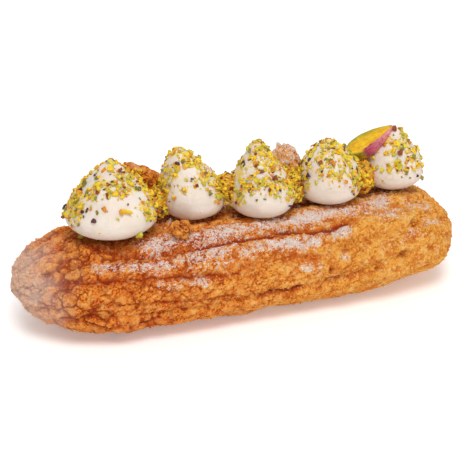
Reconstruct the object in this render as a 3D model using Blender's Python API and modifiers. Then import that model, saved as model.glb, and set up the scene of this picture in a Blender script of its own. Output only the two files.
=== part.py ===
"""Pistachio eclair: a fluted choux shell with five piped cream kisses, chopped nuts and crumble.

Units are metres, +Z is up. The origin is on the table under the middle of the shell.
The eclair lies along X, and its front side faces -Y.
"""

import math
import random
from dataclasses import dataclass

import bmesh
import bpy
import numpy as np
from mathutils import Matrix, Vector, noise
from mathutils.bvhtree import BVHTree

MM = 0.001
SEED = 7

# Choux shell: the overall box
LENGTH = 140 * MM
WIDTH = 48.5 * MM
HEIGHT = 28.5 * MM

# Choux shell: the plain form under the flutes
WIDEST_AT = 13.6 * MM
LEFT_END_POWER = 5.2
RIGHT_END_POWER = 7.5
SIDE_ROUND = 0.9
CREST_ROUND = 0.8
FOOT_OVERSHOOT = 1.05
LEFT_LIFT = 2.4 * MM
LEFT_LIFT_POWER = 6
RIGHT_LIFT = 2.5 * MM
RIGHT_LIFT_FROM = 0.25
RIGHT_LIFT_TO = 0.8
RIGHT_BEND = 2.0 * MM

# Choux shell: piped flutes
FLUTES = 12
FLUTE_DEPTH = 1.5 * MM
FLUTE_ROUND = 2.6
FIRST_GROOVE = math.radians(51)
FLUTE_TWIST = math.radians(20)
FLUTE_WANDER = math.radians(5)
WANDER_LENGTH = 32 * MM
WANDER_ROUND = 1.5
FADE_POWER = 6
FOOT_FADE = 0.9

# Choux shell: baked lumps, swells, and the cobbles of the left end
LUMP_SIZE = 9 * MM
LUMP_HEIGHT = 0.9 * MM
SWELL_SIZE = 26 * MM
SWELL_HEIGHT = 1.1 * MM
COBBLE_SIZE = 5.5 * MM
COBBLE_HEIGHT = 0.8 * MM
COBBLE_FROM = -0.45

# Choux shell: facets
ROUND_FACETS = 60
SHELL_RINGS = 40
OUTLINE_SAMPLES = 4001

# Gap left between neighbouring pieces
GAP = 0.35 * MM

# Cream kisses
KISS_FACETS = 20
KISS_RINGS = 11
RING_CROWDING = 1.15
KISS_WIDEST = 0.24
KISS_TUCK = 0.26
KISS_FOOT = -0.12
LEAN_POWER = 1.6
SWIRL_DEPTH = 0.3 * MM
SWIRL_TURNS = 1.3
MERGE_DISTANCE = 0.01 * MM

# Chopped pistachio stuck to the kisses
BIT_SMALLEST = 0.75 * MM
BIT_LARGEST = 1.25 * MM
BIT_WIDTH = (0.75, 1.0)
BIT_THICKNESS = (0.65, 0.9)
BIT_JITTER = 0.18
BIT_TURN_JITTER = 0.3
BIT_TILT = 0.6
BIT_SINK = 0.2
BIT_TOP = 0.97
BIT_REACH = 0.68
GOLDEN_ANGLE = math.pi * (3 - math.sqrt(5))

# Crumble chunks and nut heaps
CRAG_DEPTH = 0.24
CRAG_SIZE = 0.55
HEAP_BITS = 6
HEAP_BIT_SMALLEST = 0.76 * MM
HEAP_BIT_LARGEST = 1.14 * MM
HEAP_BIT_REACH = 0.75

# Half a pistachio kernel
KERNEL_FACETS = 16
KERNEL_RINGS = 10
KERNEL_LENGTH = 16.5 * MM
KERNEL_WIDTH = 9.8 * MM
KERNEL_DEPTH = 5.6 * MM
KERNEL_CROWN = 0.3 * MM
KERNEL_POINT = 0.6
KERNEL_PLACE = Vector((43.8, 4.2, 43.2)) * MM
KERNEL_AXIS = Vector((0.877, -0.096, 0.471))
KERNEL_FACE = Vector((-0.48, -0.132, 0.868))

# Colours in linear light
CHOUX_BROWN = (0.55, 0.19, 0.05)
CREAM_WHITE = (0.78, 0.68, 0.56)
CRUMBLE_GOLD = (0.58, 0.27, 0.07)
KERNEL_GREEN = (0.55, 0.42, 0.03)
NUT_YELLOW = (0.55, 0.36, 0.04)


@dataclass(frozen=True)
class Kiss:
    """One piped cream kiss: where it stands, how big it is and how its tip runs out."""

    x: float
    y: float
    radius: float
    height: float
    lean: float
    belly: float
    tip: float
    bits: int


@dataclass(frozen=True)
class Lump:
    """One craggy lump: its centre, its half sizes, its tilt about Y and how rough it is."""

    place: Vector
    half: Vector
    tilt: float
    crag: float
    subdivisions: int


KISSES = (
    Kiss(-39.6 * MM, -0.9 * MM, 13.2 * MM, 20.6 * MM, 0.4 * MM, 1.5, 0.10, 20),
    Kiss(-13.8 * MM, 2.8 * MM, 9.8 * MM, 20.4 * MM, -4.4 * MM, 1.9, 0.20, 15),
    Kiss(5.9 * MM, -2.9 * MM, 10.0 * MM, 21.8 * MM, -1.8 * MM, 1.25, 0.28, 15),
    Kiss(28.5 * MM, -0.4 * MM, 9.8 * MM, 18.2 * MM, 0.0, 2.4, 0.25, 15),
    Kiss(51.9 * MM, 3.9 * MM, 9.5 * MM, 17.6 * MM, 0.6 * MM, 1.8, 0.18, 12),
)

CHUNKS = (
    Lump(Vector((-28.2, 6.2, 40.2)) * MM, Vector((6.3, 3.4, 2.9)) * MM, math.radians(35), 1.2, 3),
    Lump(Vector((16.2, 4.6, 38.8)) * MM, Vector((4.0, 3.8, 5.8)) * MM, math.radians(-6), 1.1, 3),
    Lump(Vector((-21.7, -10.9, 29.2)) * MM, Vector((2.9, 2.5, 2.5)) * MM, math.radians(12), 0.8, 2),
)

HEAPS = (
    Lump(Vector((-25.2, 2.6, 32.4)) * MM, Vector((3.6, 5.2, 5.8)) * MM, 0.0, 1.0, 2),
    Lump(Vector((-4.0, 0.2, 36.7)) * MM, Vector((3.4, 4.6, 3.1)) * MM, 0.0, 1.0, 2),
    Lump(Vector((17.2, 0.6, 32.4)) * MM, Vector((3.8, 5.2, 5.8)) * MM, 0.0, 1.0, 2),
    Lump(Vector((40.2, 1.2, 32.2)) * MM, Vector((4.0, 5.4, 6.0)) * MM, 0.0, 1.0, 2),
)


def clear_scene():
    """Removes whatever the new file holds."""
    for obj in list(bpy.data.objects):
        bpy.data.objects.remove(obj)


def new_collection(name):
    """Makes a collection under the scene's own."""
    collection = bpy.data.collections.new(name)
    bpy.context.scene.collection.children.link(collection)
    return collection


def food_material(name, colour, roughness):
    """Makes a food's surface, dull and not metallic."""
    material = bpy.data.materials.new(name)
    material.use_nodes = True
    shader = material.node_tree.nodes["Principled BSDF"]
    shader.inputs["Base Color"].default_value = (*colour, 1.0)
    shader.inputs["Roughness"].default_value = roughness
    shader.inputs["Metallic"].default_value = 0.0
    return material


def add_piece(name, bm, collection, material=None):
    """Turns a bmesh into a smooth-shaded object in a collection."""
    bmesh.ops.recalc_face_normals(bm, faces=bm.faces)
    mesh = bpy.data.meshes.new(name)
    bm.to_mesh(mesh)
    bm.free()
    mesh.shade_smooth()
    if material:
        mesh.materials.append(material)
    obj = bpy.data.objects.new(name, mesh)
    collection.objects.link(obj)
    return obj


def apply_modifiers(obj):
    """Replaces an object's mesh by what its modifiers make of it."""
    depsgraph = bpy.context.evaluated_depsgraph_get()
    finished = bpy.data.meshes.new_from_object(obj.evaluated_get(depsgraph))
    plain = obj.data
    obj.modifiers.clear()
    obj.data = finished
    bpy.data.meshes.remove(plain)


def grown_cutter(obj, cutters):
    """Makes a hidden copy of a piece, larger all round by the gap, that cuts room for it."""
    bm = bmesh.new()
    bm.from_object(obj, bpy.context.evaluated_depsgraph_get())
    bm.normal_update()
    for vert, shift in [(v, v.normal * GAP) for v in bm.verts]:
        vert.co += shift
    cutter = add_piece(obj.name + "_room", bm, cutters)
    cutter.hide_render = True
    cutter.display_type = "WIRE"
    return cutter


def cut(obj, cutter):
    """Takes a cutter's volume out of a piece."""
    boolean = obj.modifiers.new(cutter.name, "BOOLEAN")
    boolean.operation = "DIFFERENCE"
    boolean.solver = "EXACT"
    boolean.object = cutter


def signed_power(value, power):
    """Raises a number's size to a power and keeps its sign."""
    return math.copysign(abs(value) ** power, value)


def end_girth(place):
    """How much of its full girth the shell has, place running -1 to 1 along it."""
    power = LEFT_END_POWER if place < 0 else RIGHT_END_POWER
    return math.sqrt(max(0.0, 1 - abs(place) ** power))


def end_lift(place):
    """How far the underside rises off the table towards the ends."""
    if place < 0:
        return LEFT_LIFT * abs(place) ** LEFT_LIFT_POWER
    share = (place - RIGHT_LIFT_FROM) / (RIGHT_LIFT_TO - RIGHT_LIFT_FROM)
    share = max(0.0, min(1.0, share))
    return RIGHT_LIFT * share * share * (3 - 2 * share)


def shell_point(place, angle):
    """A point of the plain shell, angle going round it from the front over the top."""
    end = end_girth(place)
    side = signed_power(math.cos(angle), SIDE_ROUND)
    rise = signed_power(math.sin(angle), CREST_ROUND)
    if rise > 0:
        z = WIDEST_AT + (HEIGHT - WIDEST_AT) * end**CREST_ROUND * rise
    else:
        z = WIDEST_AT * (1 + FOOT_OVERSHOOT * end**CREST_ROUND * rise)
    z += end_lift(place) * (1 - rise) / 2
    bend = RIGHT_BEND * max(0.0, place) ** 2
    return Vector((place * LENGTH / 2, bend - WIDTH / 2 * end * side, z))


def flute_height(x, place, angle):
    """How far the piped flutes stand out: round ridges between sharp grooves."""
    spot = Vector((x / WANDER_LENGTH, WANDER_ROUND * math.cos(angle), SEED))
    wander = FLUTE_WANDER * noise.noise(spot)
    twist = FLUTE_TWIST * ((place + 1) / 2) ** 2
    turn = (angle - FIRST_GROOVE - twist - wander) / (2 * math.pi / FLUTES)
    across = 2 * (turn % 1) - 1
    end_fade = 1 - abs(place) ** FADE_POWER
    foot_fade = 1 - FOOT_FADE * max(0.0, -math.sin(angle)) ** 2
    return FLUTE_DEPTH * end_fade * foot_fade * (1 - abs(across) ** FLUTE_ROUND)


def crust_relief(co, place, angle):
    """How far the flutes, lumps and cobbles stand out from the plain shell."""
    lump = LUMP_HEIGHT * noise.noise(co / LUMP_SIZE)
    swell = SWELL_HEIGHT * noise.noise(co / SWELL_SIZE + Vector((0, 0, SEED)))
    cobbled = max(0.0, (COBBLE_FROM - place) / (1 + COBBLE_FROM))
    cobble = COBBLE_HEIGHT * cobbled * noise.noise(co / COBBLE_SIZE + Vector((SEED, 0, 0)))
    return flute_height(co.x, place, angle) + lump + swell + cobble


def ring_stations():
    """Pairs even steps along the crust with places along the shell."""
    places = np.linspace(-1, 1, OUTLINE_SAMPLES)
    girths = np.array([end_girth(place) for place in places])
    steps = np.hypot(np.diff(places) * LENGTH / 2, np.diff(girths) * WIDTH / 2)
    along = np.concatenate([[0], np.cumsum(steps)])
    return along / along[-1] * 2 - 1, places


def fit_to_box(bm):
    """Scales the shell to its exact length, width and height and levels its foot at z = 0."""
    points = np.array([v.co for v in bm.verts])
    low = points.min(axis=0)
    high = points.max(axis=0)
    for vert in bm.verts:
        x = (vert.co.x - (low[0] + high[0]) / 2) * LENGTH / (high[0] - low[0])
        y = (vert.co.y - (low[1] + high[1]) / 2) * WIDTH / (high[1] - low[1])
        z = max(0.0, vert.co.z) * HEIGHT / high[2]
        vert.co = Vector((x, y, z))


def build_shell(collection):
    """The choux shell: a round-ended log with flutes along it, baked lumps and a flat foot."""
    even, stations = ring_stations()
    bm = bmesh.new()
    lie_down = Matrix.Rotation(math.pi / 2, 4, "Y")
    bmesh.ops.create_uvsphere(
        bm, u_segments=ROUND_FACETS, v_segments=SHELL_RINGS, radius=1, matrix=lie_down
    )
    spots = {}
    for vert in bm.verts:
        step = 1 - 2 * math.acos(max(-1.0, min(1.0, vert.co.x))) / math.pi
        place = float(np.interp(step, even, stations))
        angle = math.atan2(vert.co.z, -vert.co.y)
        spots[vert] = (place, angle)
        vert.co = shell_point(place, angle)
    bmesh.ops.recalc_face_normals(bm, faces=bm.faces)
    bm.normal_update()
    for vert, out in [(v, v.normal.copy()) for v in bm.verts]:
        vert.co += out * crust_relief(vert.co, *spots[vert])
    fit_to_box(bm)
    bmesh.ops.triangulate(bm, faces=bm.faces)
    material = food_material("choux crust", CHOUX_BROWN, 0.85)
    return add_piece("choux_shell", bm, collection, material)


def kiss_girth(kiss, up):
    """A kiss's radius as a share of its widest, up being 0 at the crust and 1 at the tip."""
    if up < KISS_WIDEST:
        return max(0.0, 1 - KISS_TUCK * ((KISS_WIDEST - up) / KISS_WIDEST) ** 3)
    climb = min(1.0, (up - KISS_WIDEST) / (1 - KISS_WIDEST))
    cone = 1 - climb**kiss.belly
    dome = math.sqrt(1 - climb * climb)
    return (1 - kiss.tip) * cone + kiss.tip * dome


def kiss_shift(kiss, up, angle, radius):
    """How far the lean and the nozzle's spiral crease move a point of a kiss."""
    climb = max(0.0, min(1.0, up))
    crease = math.cos(angle - 2 * math.pi * SWIRL_TURNS * climb) ** 2
    inward = SWIRL_DEPTH * crease * math.sin(math.pi * climb) * min(1.0, 2 * radius / kiss.radius)
    lean = kiss.lean * climb**LEAN_POWER
    return Vector((lean - inward * math.cos(angle), -inward * math.sin(angle), 0))


def kiss_point(kiss, up, angle):
    """A point on a kiss's skin."""
    radius = kiss.radius * kiss_girth(kiss, up)
    middle = Vector((kiss.x, kiss.y, HEIGHT + kiss.height * up))
    out = Vector((radius * math.cos(angle), radius * math.sin(angle), 0))
    return middle + out + kiss_shift(kiss, up, angle, radius)


def turned_profile(name, points, collection):
    """Turns a profile, given from top to bottom as radius and height, into a closed body."""
    bm = bmesh.new()
    verts = [bm.verts.new((radius, 0, z)) for radius, z in points]
    for upper, lower in zip(verts, verts[1:]):
        bm.edges.new((upper, lower))
    mesh = bpy.data.meshes.new(name)
    bm.to_mesh(mesh)
    bm.free()
    obj = bpy.data.objects.new(name, mesh)
    collection.objects.link(obj)
    screw = obj.modifiers.new("turn", "SCREW")
    screw.axis = "Z"
    screw.steps = KISS_FACETS
    screw.render_steps = KISS_FACETS
    screw.use_merge_vertices = True
    screw.merge_threshold = MERGE_DISTANCE
    apply_modifiers(obj)
    return obj


def build_kiss(number, kiss, collection, material):
    """One cream kiss: a turned profile, then leaned over and creased by its swirl."""
    span = 1 - KISS_FOOT
    ups = [1 - span * (i / KISS_RINGS) ** RING_CROWDING for i in range(1, KISS_RINGS + 1)]
    skin = [(kiss.radius * kiss_girth(kiss, up), kiss.height * up) for up in ups]
    points = [(0, kiss.height), *skin, (0, kiss.height * KISS_FOOT)]
    obj = turned_profile(f"cream_kiss_{number}", points, collection)
    bm = bmesh.new()
    bm.from_mesh(obj.data)
    for vert in bm.verts:
        radius = math.hypot(vert.co.x, vert.co.y)
        angle = math.atan2(vert.co.y, vert.co.x)
        shift = kiss_shift(kiss, vert.co.z / kiss.height, angle, radius)
        vert.co += Vector((kiss.x, kiss.y, HEIGHT)) + shift
    bmesh.ops.triangulate(bm, faces=bm.faces)
    bmesh.ops.recalc_face_normals(bm, faces=bm.faces)
    bm.to_mesh(obj.data)
    bm.free()
    obj.data.materials.append(material)
    obj.data.shade_smooth()
    return obj


def build_lump(name, seed, lump, collection, material):
    """One craggy lump of crumble, or the core of a heap of nuts."""
    bm = bmesh.new()
    bmesh.ops.create_icosphere(bm, subdivisions=lump.subdivisions, radius=1)
    for vert in bm.verts:
        coarse = noise.noise(vert.co / CRAG_SIZE + Vector((SEED * seed, 0, 0)))
        fine = noise.noise(vert.co / (CRAG_SIZE / 2) + Vector((0, SEED * seed, 0)))
        vert.co *= 1 + CRAG_DEPTH * lump.crag * (coarse + fine / 2)
        vert.co = lump.half * vert.co
    place = Matrix.Translation(lump.place) @ Matrix.Rotation(lump.tilt, 4, "Y")
    bmesh.ops.transform(bm, matrix=place, verts=bm.verts)
    return add_piece(name, bm, collection, material)


def kernel_frame():
    """The kernel's place: its point lies along the axis, its cut face looks along the face normal."""
    along = KERNEL_AXIS.normalized()
    across = KERNEL_FACE.cross(along).normalized()
    face = along.cross(across).normalized()
    turn = Matrix((along, across, face)).transposed().to_4x4()
    return Matrix.Translation(KERNEL_PLACE) @ turn


def build_kernel(collection):
    """Half a pistachio kernel: blunt at one end, pointed at the other, flat where it split."""
    bm = bmesh.new()
    lie_down = Matrix.Rotation(math.pi / 2, 4, "Y")
    bmesh.ops.create_uvsphere(
        bm, u_segments=KERNEL_FACETS, v_segments=KERNEL_RINGS, radius=1, matrix=lie_down
    )
    for vert in bm.verts:
        x, y, z = vert.co
        narrow = 1 - KERNEL_POINT * ((x + 1) / 2) ** 2
        rise = KERNEL_CROWN * math.sqrt(z) if z > 0 else KERNEL_DEPTH * narrow * z
        vert.co = Vector((x * KERNEL_LENGTH / 2, y * narrow * KERNEL_WIDTH / 2, rise))
    bmesh.ops.transform(bm, matrix=kernel_frame(), verts=bm.verts)
    bmesh.ops.triangulate(bm, faces=bm.faces)
    material = food_material("pistachio flesh", KERNEL_GREEN, 0.5)
    return add_piece("pistachio_kernel", bm, collection, material)


def kiss_bit_spots(kiss, rng, neighbours, taken):
    """Places for the largest nut bits: a golden-angle spiral down the upper part of a kiss."""
    spots = []
    for i in range(kiss.bits):
        up = BIT_TOP - BIT_REACH * (i + 0.5) / kiss.bits
        angle = i * GOLDEN_ANGLE + rng.uniform(-BIT_TURN_JITTER, BIT_TURN_JITTER)
        size = rng.uniform(BIT_SMALLEST, BIT_LARGEST)
        skin = kiss_point(kiss, up, angle)
        core = (skin + kiss_point(kiss, up, angle + math.pi)) / 2
        middle = skin + (core - skin).normalized() * BIT_SINK * size
        reach = size * (1 + BIT_JITTER)
        clear = all(tree.find_nearest(middle)[3] > reach + GAP for tree in neighbours)
        apart = all((middle - other).length > size + radius for other, radius in taken + spots)
        if clear and apart:
            spots.append((middle, size))
    return spots


def heap_bit_spots(heap, rng):
    """Places for the nuts that stand out of a heap's upper side."""
    spots = []
    for i in range(HEAP_BITS):
        up = 1 - HEAP_BIT_REACH * (i + 0.5) / HEAP_BITS
        ring = math.sqrt(1 - up * up)
        out = Vector((ring * math.cos(i * GOLDEN_ANGLE), ring * math.sin(i * GOLDEN_ANGLE), up))
        middle = heap.place + heap.half * out * (1 - BIT_SINK / 2)
        spots.append((middle, rng.uniform(HEAP_BIT_SMALLEST, HEAP_BIT_LARGEST)))
    return spots


def build_bit(name, middle, size, rng, collection):
    """One chopped nut bit, a small uneven block."""
    bm = bmesh.new()
    bmesh.ops.create_icosphere(bm, subdivisions=1, radius=1)
    half = Vector((1.0, rng.uniform(*BIT_WIDTH), rng.uniform(*BIT_THICKNESS))) * size
    for vert in bm.verts:
        vert.co = half * vert.co * (1 + rng.uniform(-BIT_JITTER, BIT_JITTER))
    spin = Matrix.Rotation(rng.uniform(0, math.pi), 4, "Z")
    tilt = Matrix.Rotation(rng.uniform(-BIT_TILT, BIT_TILT), 4, "X")
    bmesh.ops.transform(bm, matrix=Matrix.Translation(middle) @ spin @ tilt, verts=bm.verts)
    return add_piece(name, bm, collection)


def fuse_bits(obj, spots, rng):
    """Joins nut bits to what they stick to."""
    bits = new_collection("nut bits")
    for i, (middle, size) in enumerate(spots):
        build_bit(f"bit_{i}", middle, size, rng, bits)
    union = obj.modifiers.new("nuts", "BOOLEAN")
    union.operation = "UNION"
    union.solver = "EXACT"
    union.operand_type = "COLLECTION"
    union.collection = bits
    apply_modifiers(obj)
    for bit in list(bits.objects):
        bpy.data.objects.remove(bit)
    bpy.data.collections.remove(bits)


def build_lumps(prefix, lumps, collection, material):
    """Makes one node for each lump."""
    return [
        build_lump(f"{prefix}_{i + 1}", i, lump, collection, material) for i, lump in enumerate(lumps)
    ]


def main():
    """Builds the whole eclair, then cuts each soft piece to fit round its neighbours."""
    clear_scene()
    rng = random.Random(SEED)
    eclair = new_collection("pistachio_eclair")
    cutters = new_collection("cutters")
    cream = food_material("cream", CREAM_WHITE, 0.55)
    crumble = food_material("crumble", CRUMBLE_GOLD, 0.9)
    nuts = food_material("chopped pistachio", NUT_YELLOW, 0.7)

    shell = build_shell(eclair)
    kisses = [build_kiss(i + 1, kiss, eclair, cream) for i, kiss in enumerate(KISSES)]
    chunks = build_lumps("crumble_chunk", CHUNKS, eclair, crumble)
    heaps = build_lumps("chopped_nuts", HEAPS, eclair, nuts)
    kernel = build_kernel(eclair)

    depsgraph = bpy.context.evaluated_depsgraph_get()
    plain = {obj: BVHTree.FromObject(obj, depsgraph) for obj in [*kisses, *chunks, *heaps, kernel]}
    shell_room = grown_cutter(shell, cutters)
    hard_rooms = [grown_cutter(obj, cutters) for obj in [*chunks, kernel]]
    kiss_rooms = [grown_cutter(obj, cutters) for obj in kisses]

    for heap, obj in zip(HEAPS, heaps):
        fuse_bits(obj, heap_bit_spots(heap, rng), rng)
        for room in [shell_room, *kiss_rooms, *hard_rooms]:
            cut(obj, room)
    taken = []
    for kiss, obj in zip(KISSES, kisses):
        neighbours = [tree for other, tree in plain.items() if other is not obj]
        spots = kiss_bit_spots(kiss, rng, neighbours, taken)
        fuse_bits(obj, spots, rng)
        taken += spots
        for room in [shell_room, *hard_rooms]:
            cut(obj, room)
    for obj in chunks:
        cut(obj, shell_room)


main()
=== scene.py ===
"""Looks of the pistachio eclair: crumbly choux, piped cream, chopped nuts, crumble and sugar.

Units are metres, +Z is up. The eclair lies along X and its front side faces -Y.
"""

import logging
import math
import random
from collections.abc import Callable, Iterable, Sequence
from dataclasses import dataclass, field
from enum import Enum

import bmesh
import bpy
import numpy as np
from mathutils import Matrix, Vector, noise
from mathutils.bvhtree import BVHTree


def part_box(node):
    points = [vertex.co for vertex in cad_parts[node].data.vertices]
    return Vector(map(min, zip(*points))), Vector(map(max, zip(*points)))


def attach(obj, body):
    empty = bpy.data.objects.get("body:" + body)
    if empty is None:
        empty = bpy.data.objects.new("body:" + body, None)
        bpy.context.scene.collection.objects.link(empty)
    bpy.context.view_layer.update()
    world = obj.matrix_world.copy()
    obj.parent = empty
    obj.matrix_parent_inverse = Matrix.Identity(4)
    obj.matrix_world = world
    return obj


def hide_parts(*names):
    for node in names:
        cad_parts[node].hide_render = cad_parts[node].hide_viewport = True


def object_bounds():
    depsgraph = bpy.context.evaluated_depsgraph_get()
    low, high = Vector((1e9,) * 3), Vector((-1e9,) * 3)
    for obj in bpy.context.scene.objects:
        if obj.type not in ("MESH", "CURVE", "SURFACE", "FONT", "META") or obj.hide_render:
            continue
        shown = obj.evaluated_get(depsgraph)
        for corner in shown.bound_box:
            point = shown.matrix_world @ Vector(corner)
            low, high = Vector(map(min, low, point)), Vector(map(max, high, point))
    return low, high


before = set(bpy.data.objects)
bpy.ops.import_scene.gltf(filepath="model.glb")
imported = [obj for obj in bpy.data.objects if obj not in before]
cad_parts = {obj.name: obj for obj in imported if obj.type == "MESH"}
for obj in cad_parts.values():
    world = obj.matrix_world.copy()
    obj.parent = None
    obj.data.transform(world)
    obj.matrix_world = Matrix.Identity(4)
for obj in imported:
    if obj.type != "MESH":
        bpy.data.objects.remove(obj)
cad_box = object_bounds()

MM = 0.001
SEED = 7
BODY = "root"
UP = Vector((0, 0, 1))
NOISE_SHIFT = Vector((17.3, 5.1, 29.7))

log = logging.getLogger("eclair")

Paint = tuple[float, float, float, float]


def paint(red: int, green: int, blue: int) -> Paint:
    """Turns a colour as seen, 0 to 255 in each channel, into linear light.

    Args:
        red: The red channel.
        green: The green channel.
        blue: The blue channel.

    Returns:
        The opaque colour in linear light.
    """
    linear = []
    for channel in (red, green, blue):
        share = channel / 255
        linear.append(share / 12.92 if share <= 0.04045 else ((share + 0.055) / 1.055) ** 2.4)
    return (*linear, 1.0)


def fade(value: float, low: float, high: float) -> float:
    """Rises smoothly from 0 at low to 1 at high, or falls where low is the larger."""
    share = min(1.0, max(0.0, (value - low) / (high - low)))
    return share * share * (3 - 2 * share)


@dataclass(frozen=True)
class Ramp:
    """A smooth rise from 0 at its start to 1 at its end, or a fall where the start is the larger.

    Attributes:
        start: The number at which it is 0.
        end: The number at which it is 1.
    """

    start: float
    end: float

    def at(self, value: float) -> float:
        """How far up the ramp a number is."""
        return fade(value, self.start, self.end)


def signed_power(value: float, power: float) -> float:
    """Raises a number's size to a power and keeps its sign."""
    return math.copysign(abs(value) ** power, value)


def random_direction(rng: random.Random) -> Vector:
    """Draws a direction, with all directions equally likely."""
    return Vector((rng.gauss(0, 1), rng.gauss(0, 1), rng.gauss(0, 1))).normalized()


def noise_vector(spot: Vector) -> Vector:
    """Three unrelated noises at a spot, the same in every run."""
    return Vector((noise.noise(spot), noise.noise(spot + NOISE_SHIFT), noise.noise(spot - NOISE_SHIFT)))


def mesh_object(
    name: str, points: Sequence, faces: Sequence, sharp: float | None = None
) -> bpy.types.Object:
    """Makes a smooth-shaded piece from points and faces, with its faces pointing out.

    Args:
        name: The piece's name.
        points: The corners, in metres.
        faces: The corners of each face, by number.
        sharp: The angle above which an edge stays crisp, or None for none.

    Returns:
        The new piece, linked to the scene.
    """
    mesh = bpy.data.meshes.new(name)
    mesh.from_pydata(points, [], faces)
    bm = bmesh.new()
    bm.from_mesh(mesh)
    bmesh.ops.recalc_face_normals(bm, faces=bm.faces)
    bm.to_mesh(mesh)
    bm.free()
    mesh.shade_smooth()
    if sharp is not None:
        mesh.set_sharp_from_angle(angle=sharp)
    obj = bpy.data.objects.new(name, mesh)
    bpy.context.scene.collection.objects.link(obj)
    return obj


def ball_object(name: str, subdivisions: int, place: Callable[[Vector], Vector]) -> bpy.types.Object:
    """Makes a smooth-shaded piece from a finely divided ball, each point moved to its place.

    Args:
        name: The piece's name.
        subdivisions: How finely the ball is divided.
        place: Gives a point's place for its direction from the ball's middle.

    Returns:
        The new piece, linked to the scene.
    """
    bm = bmesh.new()
    bmesh.ops.create_icosphere(bm, subdivisions=subdivisions, radius=1)
    for vert in bm.verts:
        vert.co = place(vert.co.copy())
    mesh = bpy.data.meshes.new(name)
    bm.to_mesh(mesh)
    bm.free()
    mesh.shade_smooth()
    obj = bpy.data.objects.new(name, mesh)
    bpy.context.scene.collection.objects.link(obj)
    return obj


def ring_faces(rings: int, around: int) -> list[tuple[int, ...]]:
    """Joins a stack of equal rings, with a point before the first and one after the last.

    Args:
        rings: How many rings there are.
        around: How many corners each ring has.

    Returns:
        The faces. The rings' corners come first, ring by ring, and then the two end points.
    """
    first = rings * around
    faces = []
    for row in range(rings - 1):
        for column in range(around):
            after = (column + 1) % around
            low, high = row * around, (row + 1) * around
            faces.append((low + column, low + after, high + after, high + column))
    last_row = (rings - 1) * around
    for column in range(around):
        after = (column + 1) % around
        faces.append((first, after, column))
        faces.append((first + 1, last_row + column, last_row + after))
    return faces


def set_attribute(obj: bpy.types.Object, name: str, values: Sequence[float]) -> None:
    """Stores one number for each corner, which the finish reads by name."""
    attribute = obj.data.attributes.new(name, "FLOAT", "POINT")
    attribute.data.foreach_set("value", np.asarray(values, np.float32))


def tree_of(obj: bpy.types.Object) -> BVHTree:
    """Makes the search tree of a piece's surface."""
    mesh = obj.data
    return BVHTree.FromPolygons([v.co for v in mesh.vertices], [p.vertices for p in mesh.polygons])


def enter(
    obj: bpy.types.Object, material: bpy.types.Material, replaced: Iterable[str] = ()
) -> None:
    """Gives a piece its finish, its body and the solids that it stands for.

    Args:
        obj: The piece.
        material: Its finish.
        replaced: The solids' nodes that it stands for.
    """
    obj.data.materials.append(material)
    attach(obj, BODY)
    if replaced:
        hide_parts(*replaced)
    log.info("%s: %d faces", obj.name, len(obj.data.polygons))


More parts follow.
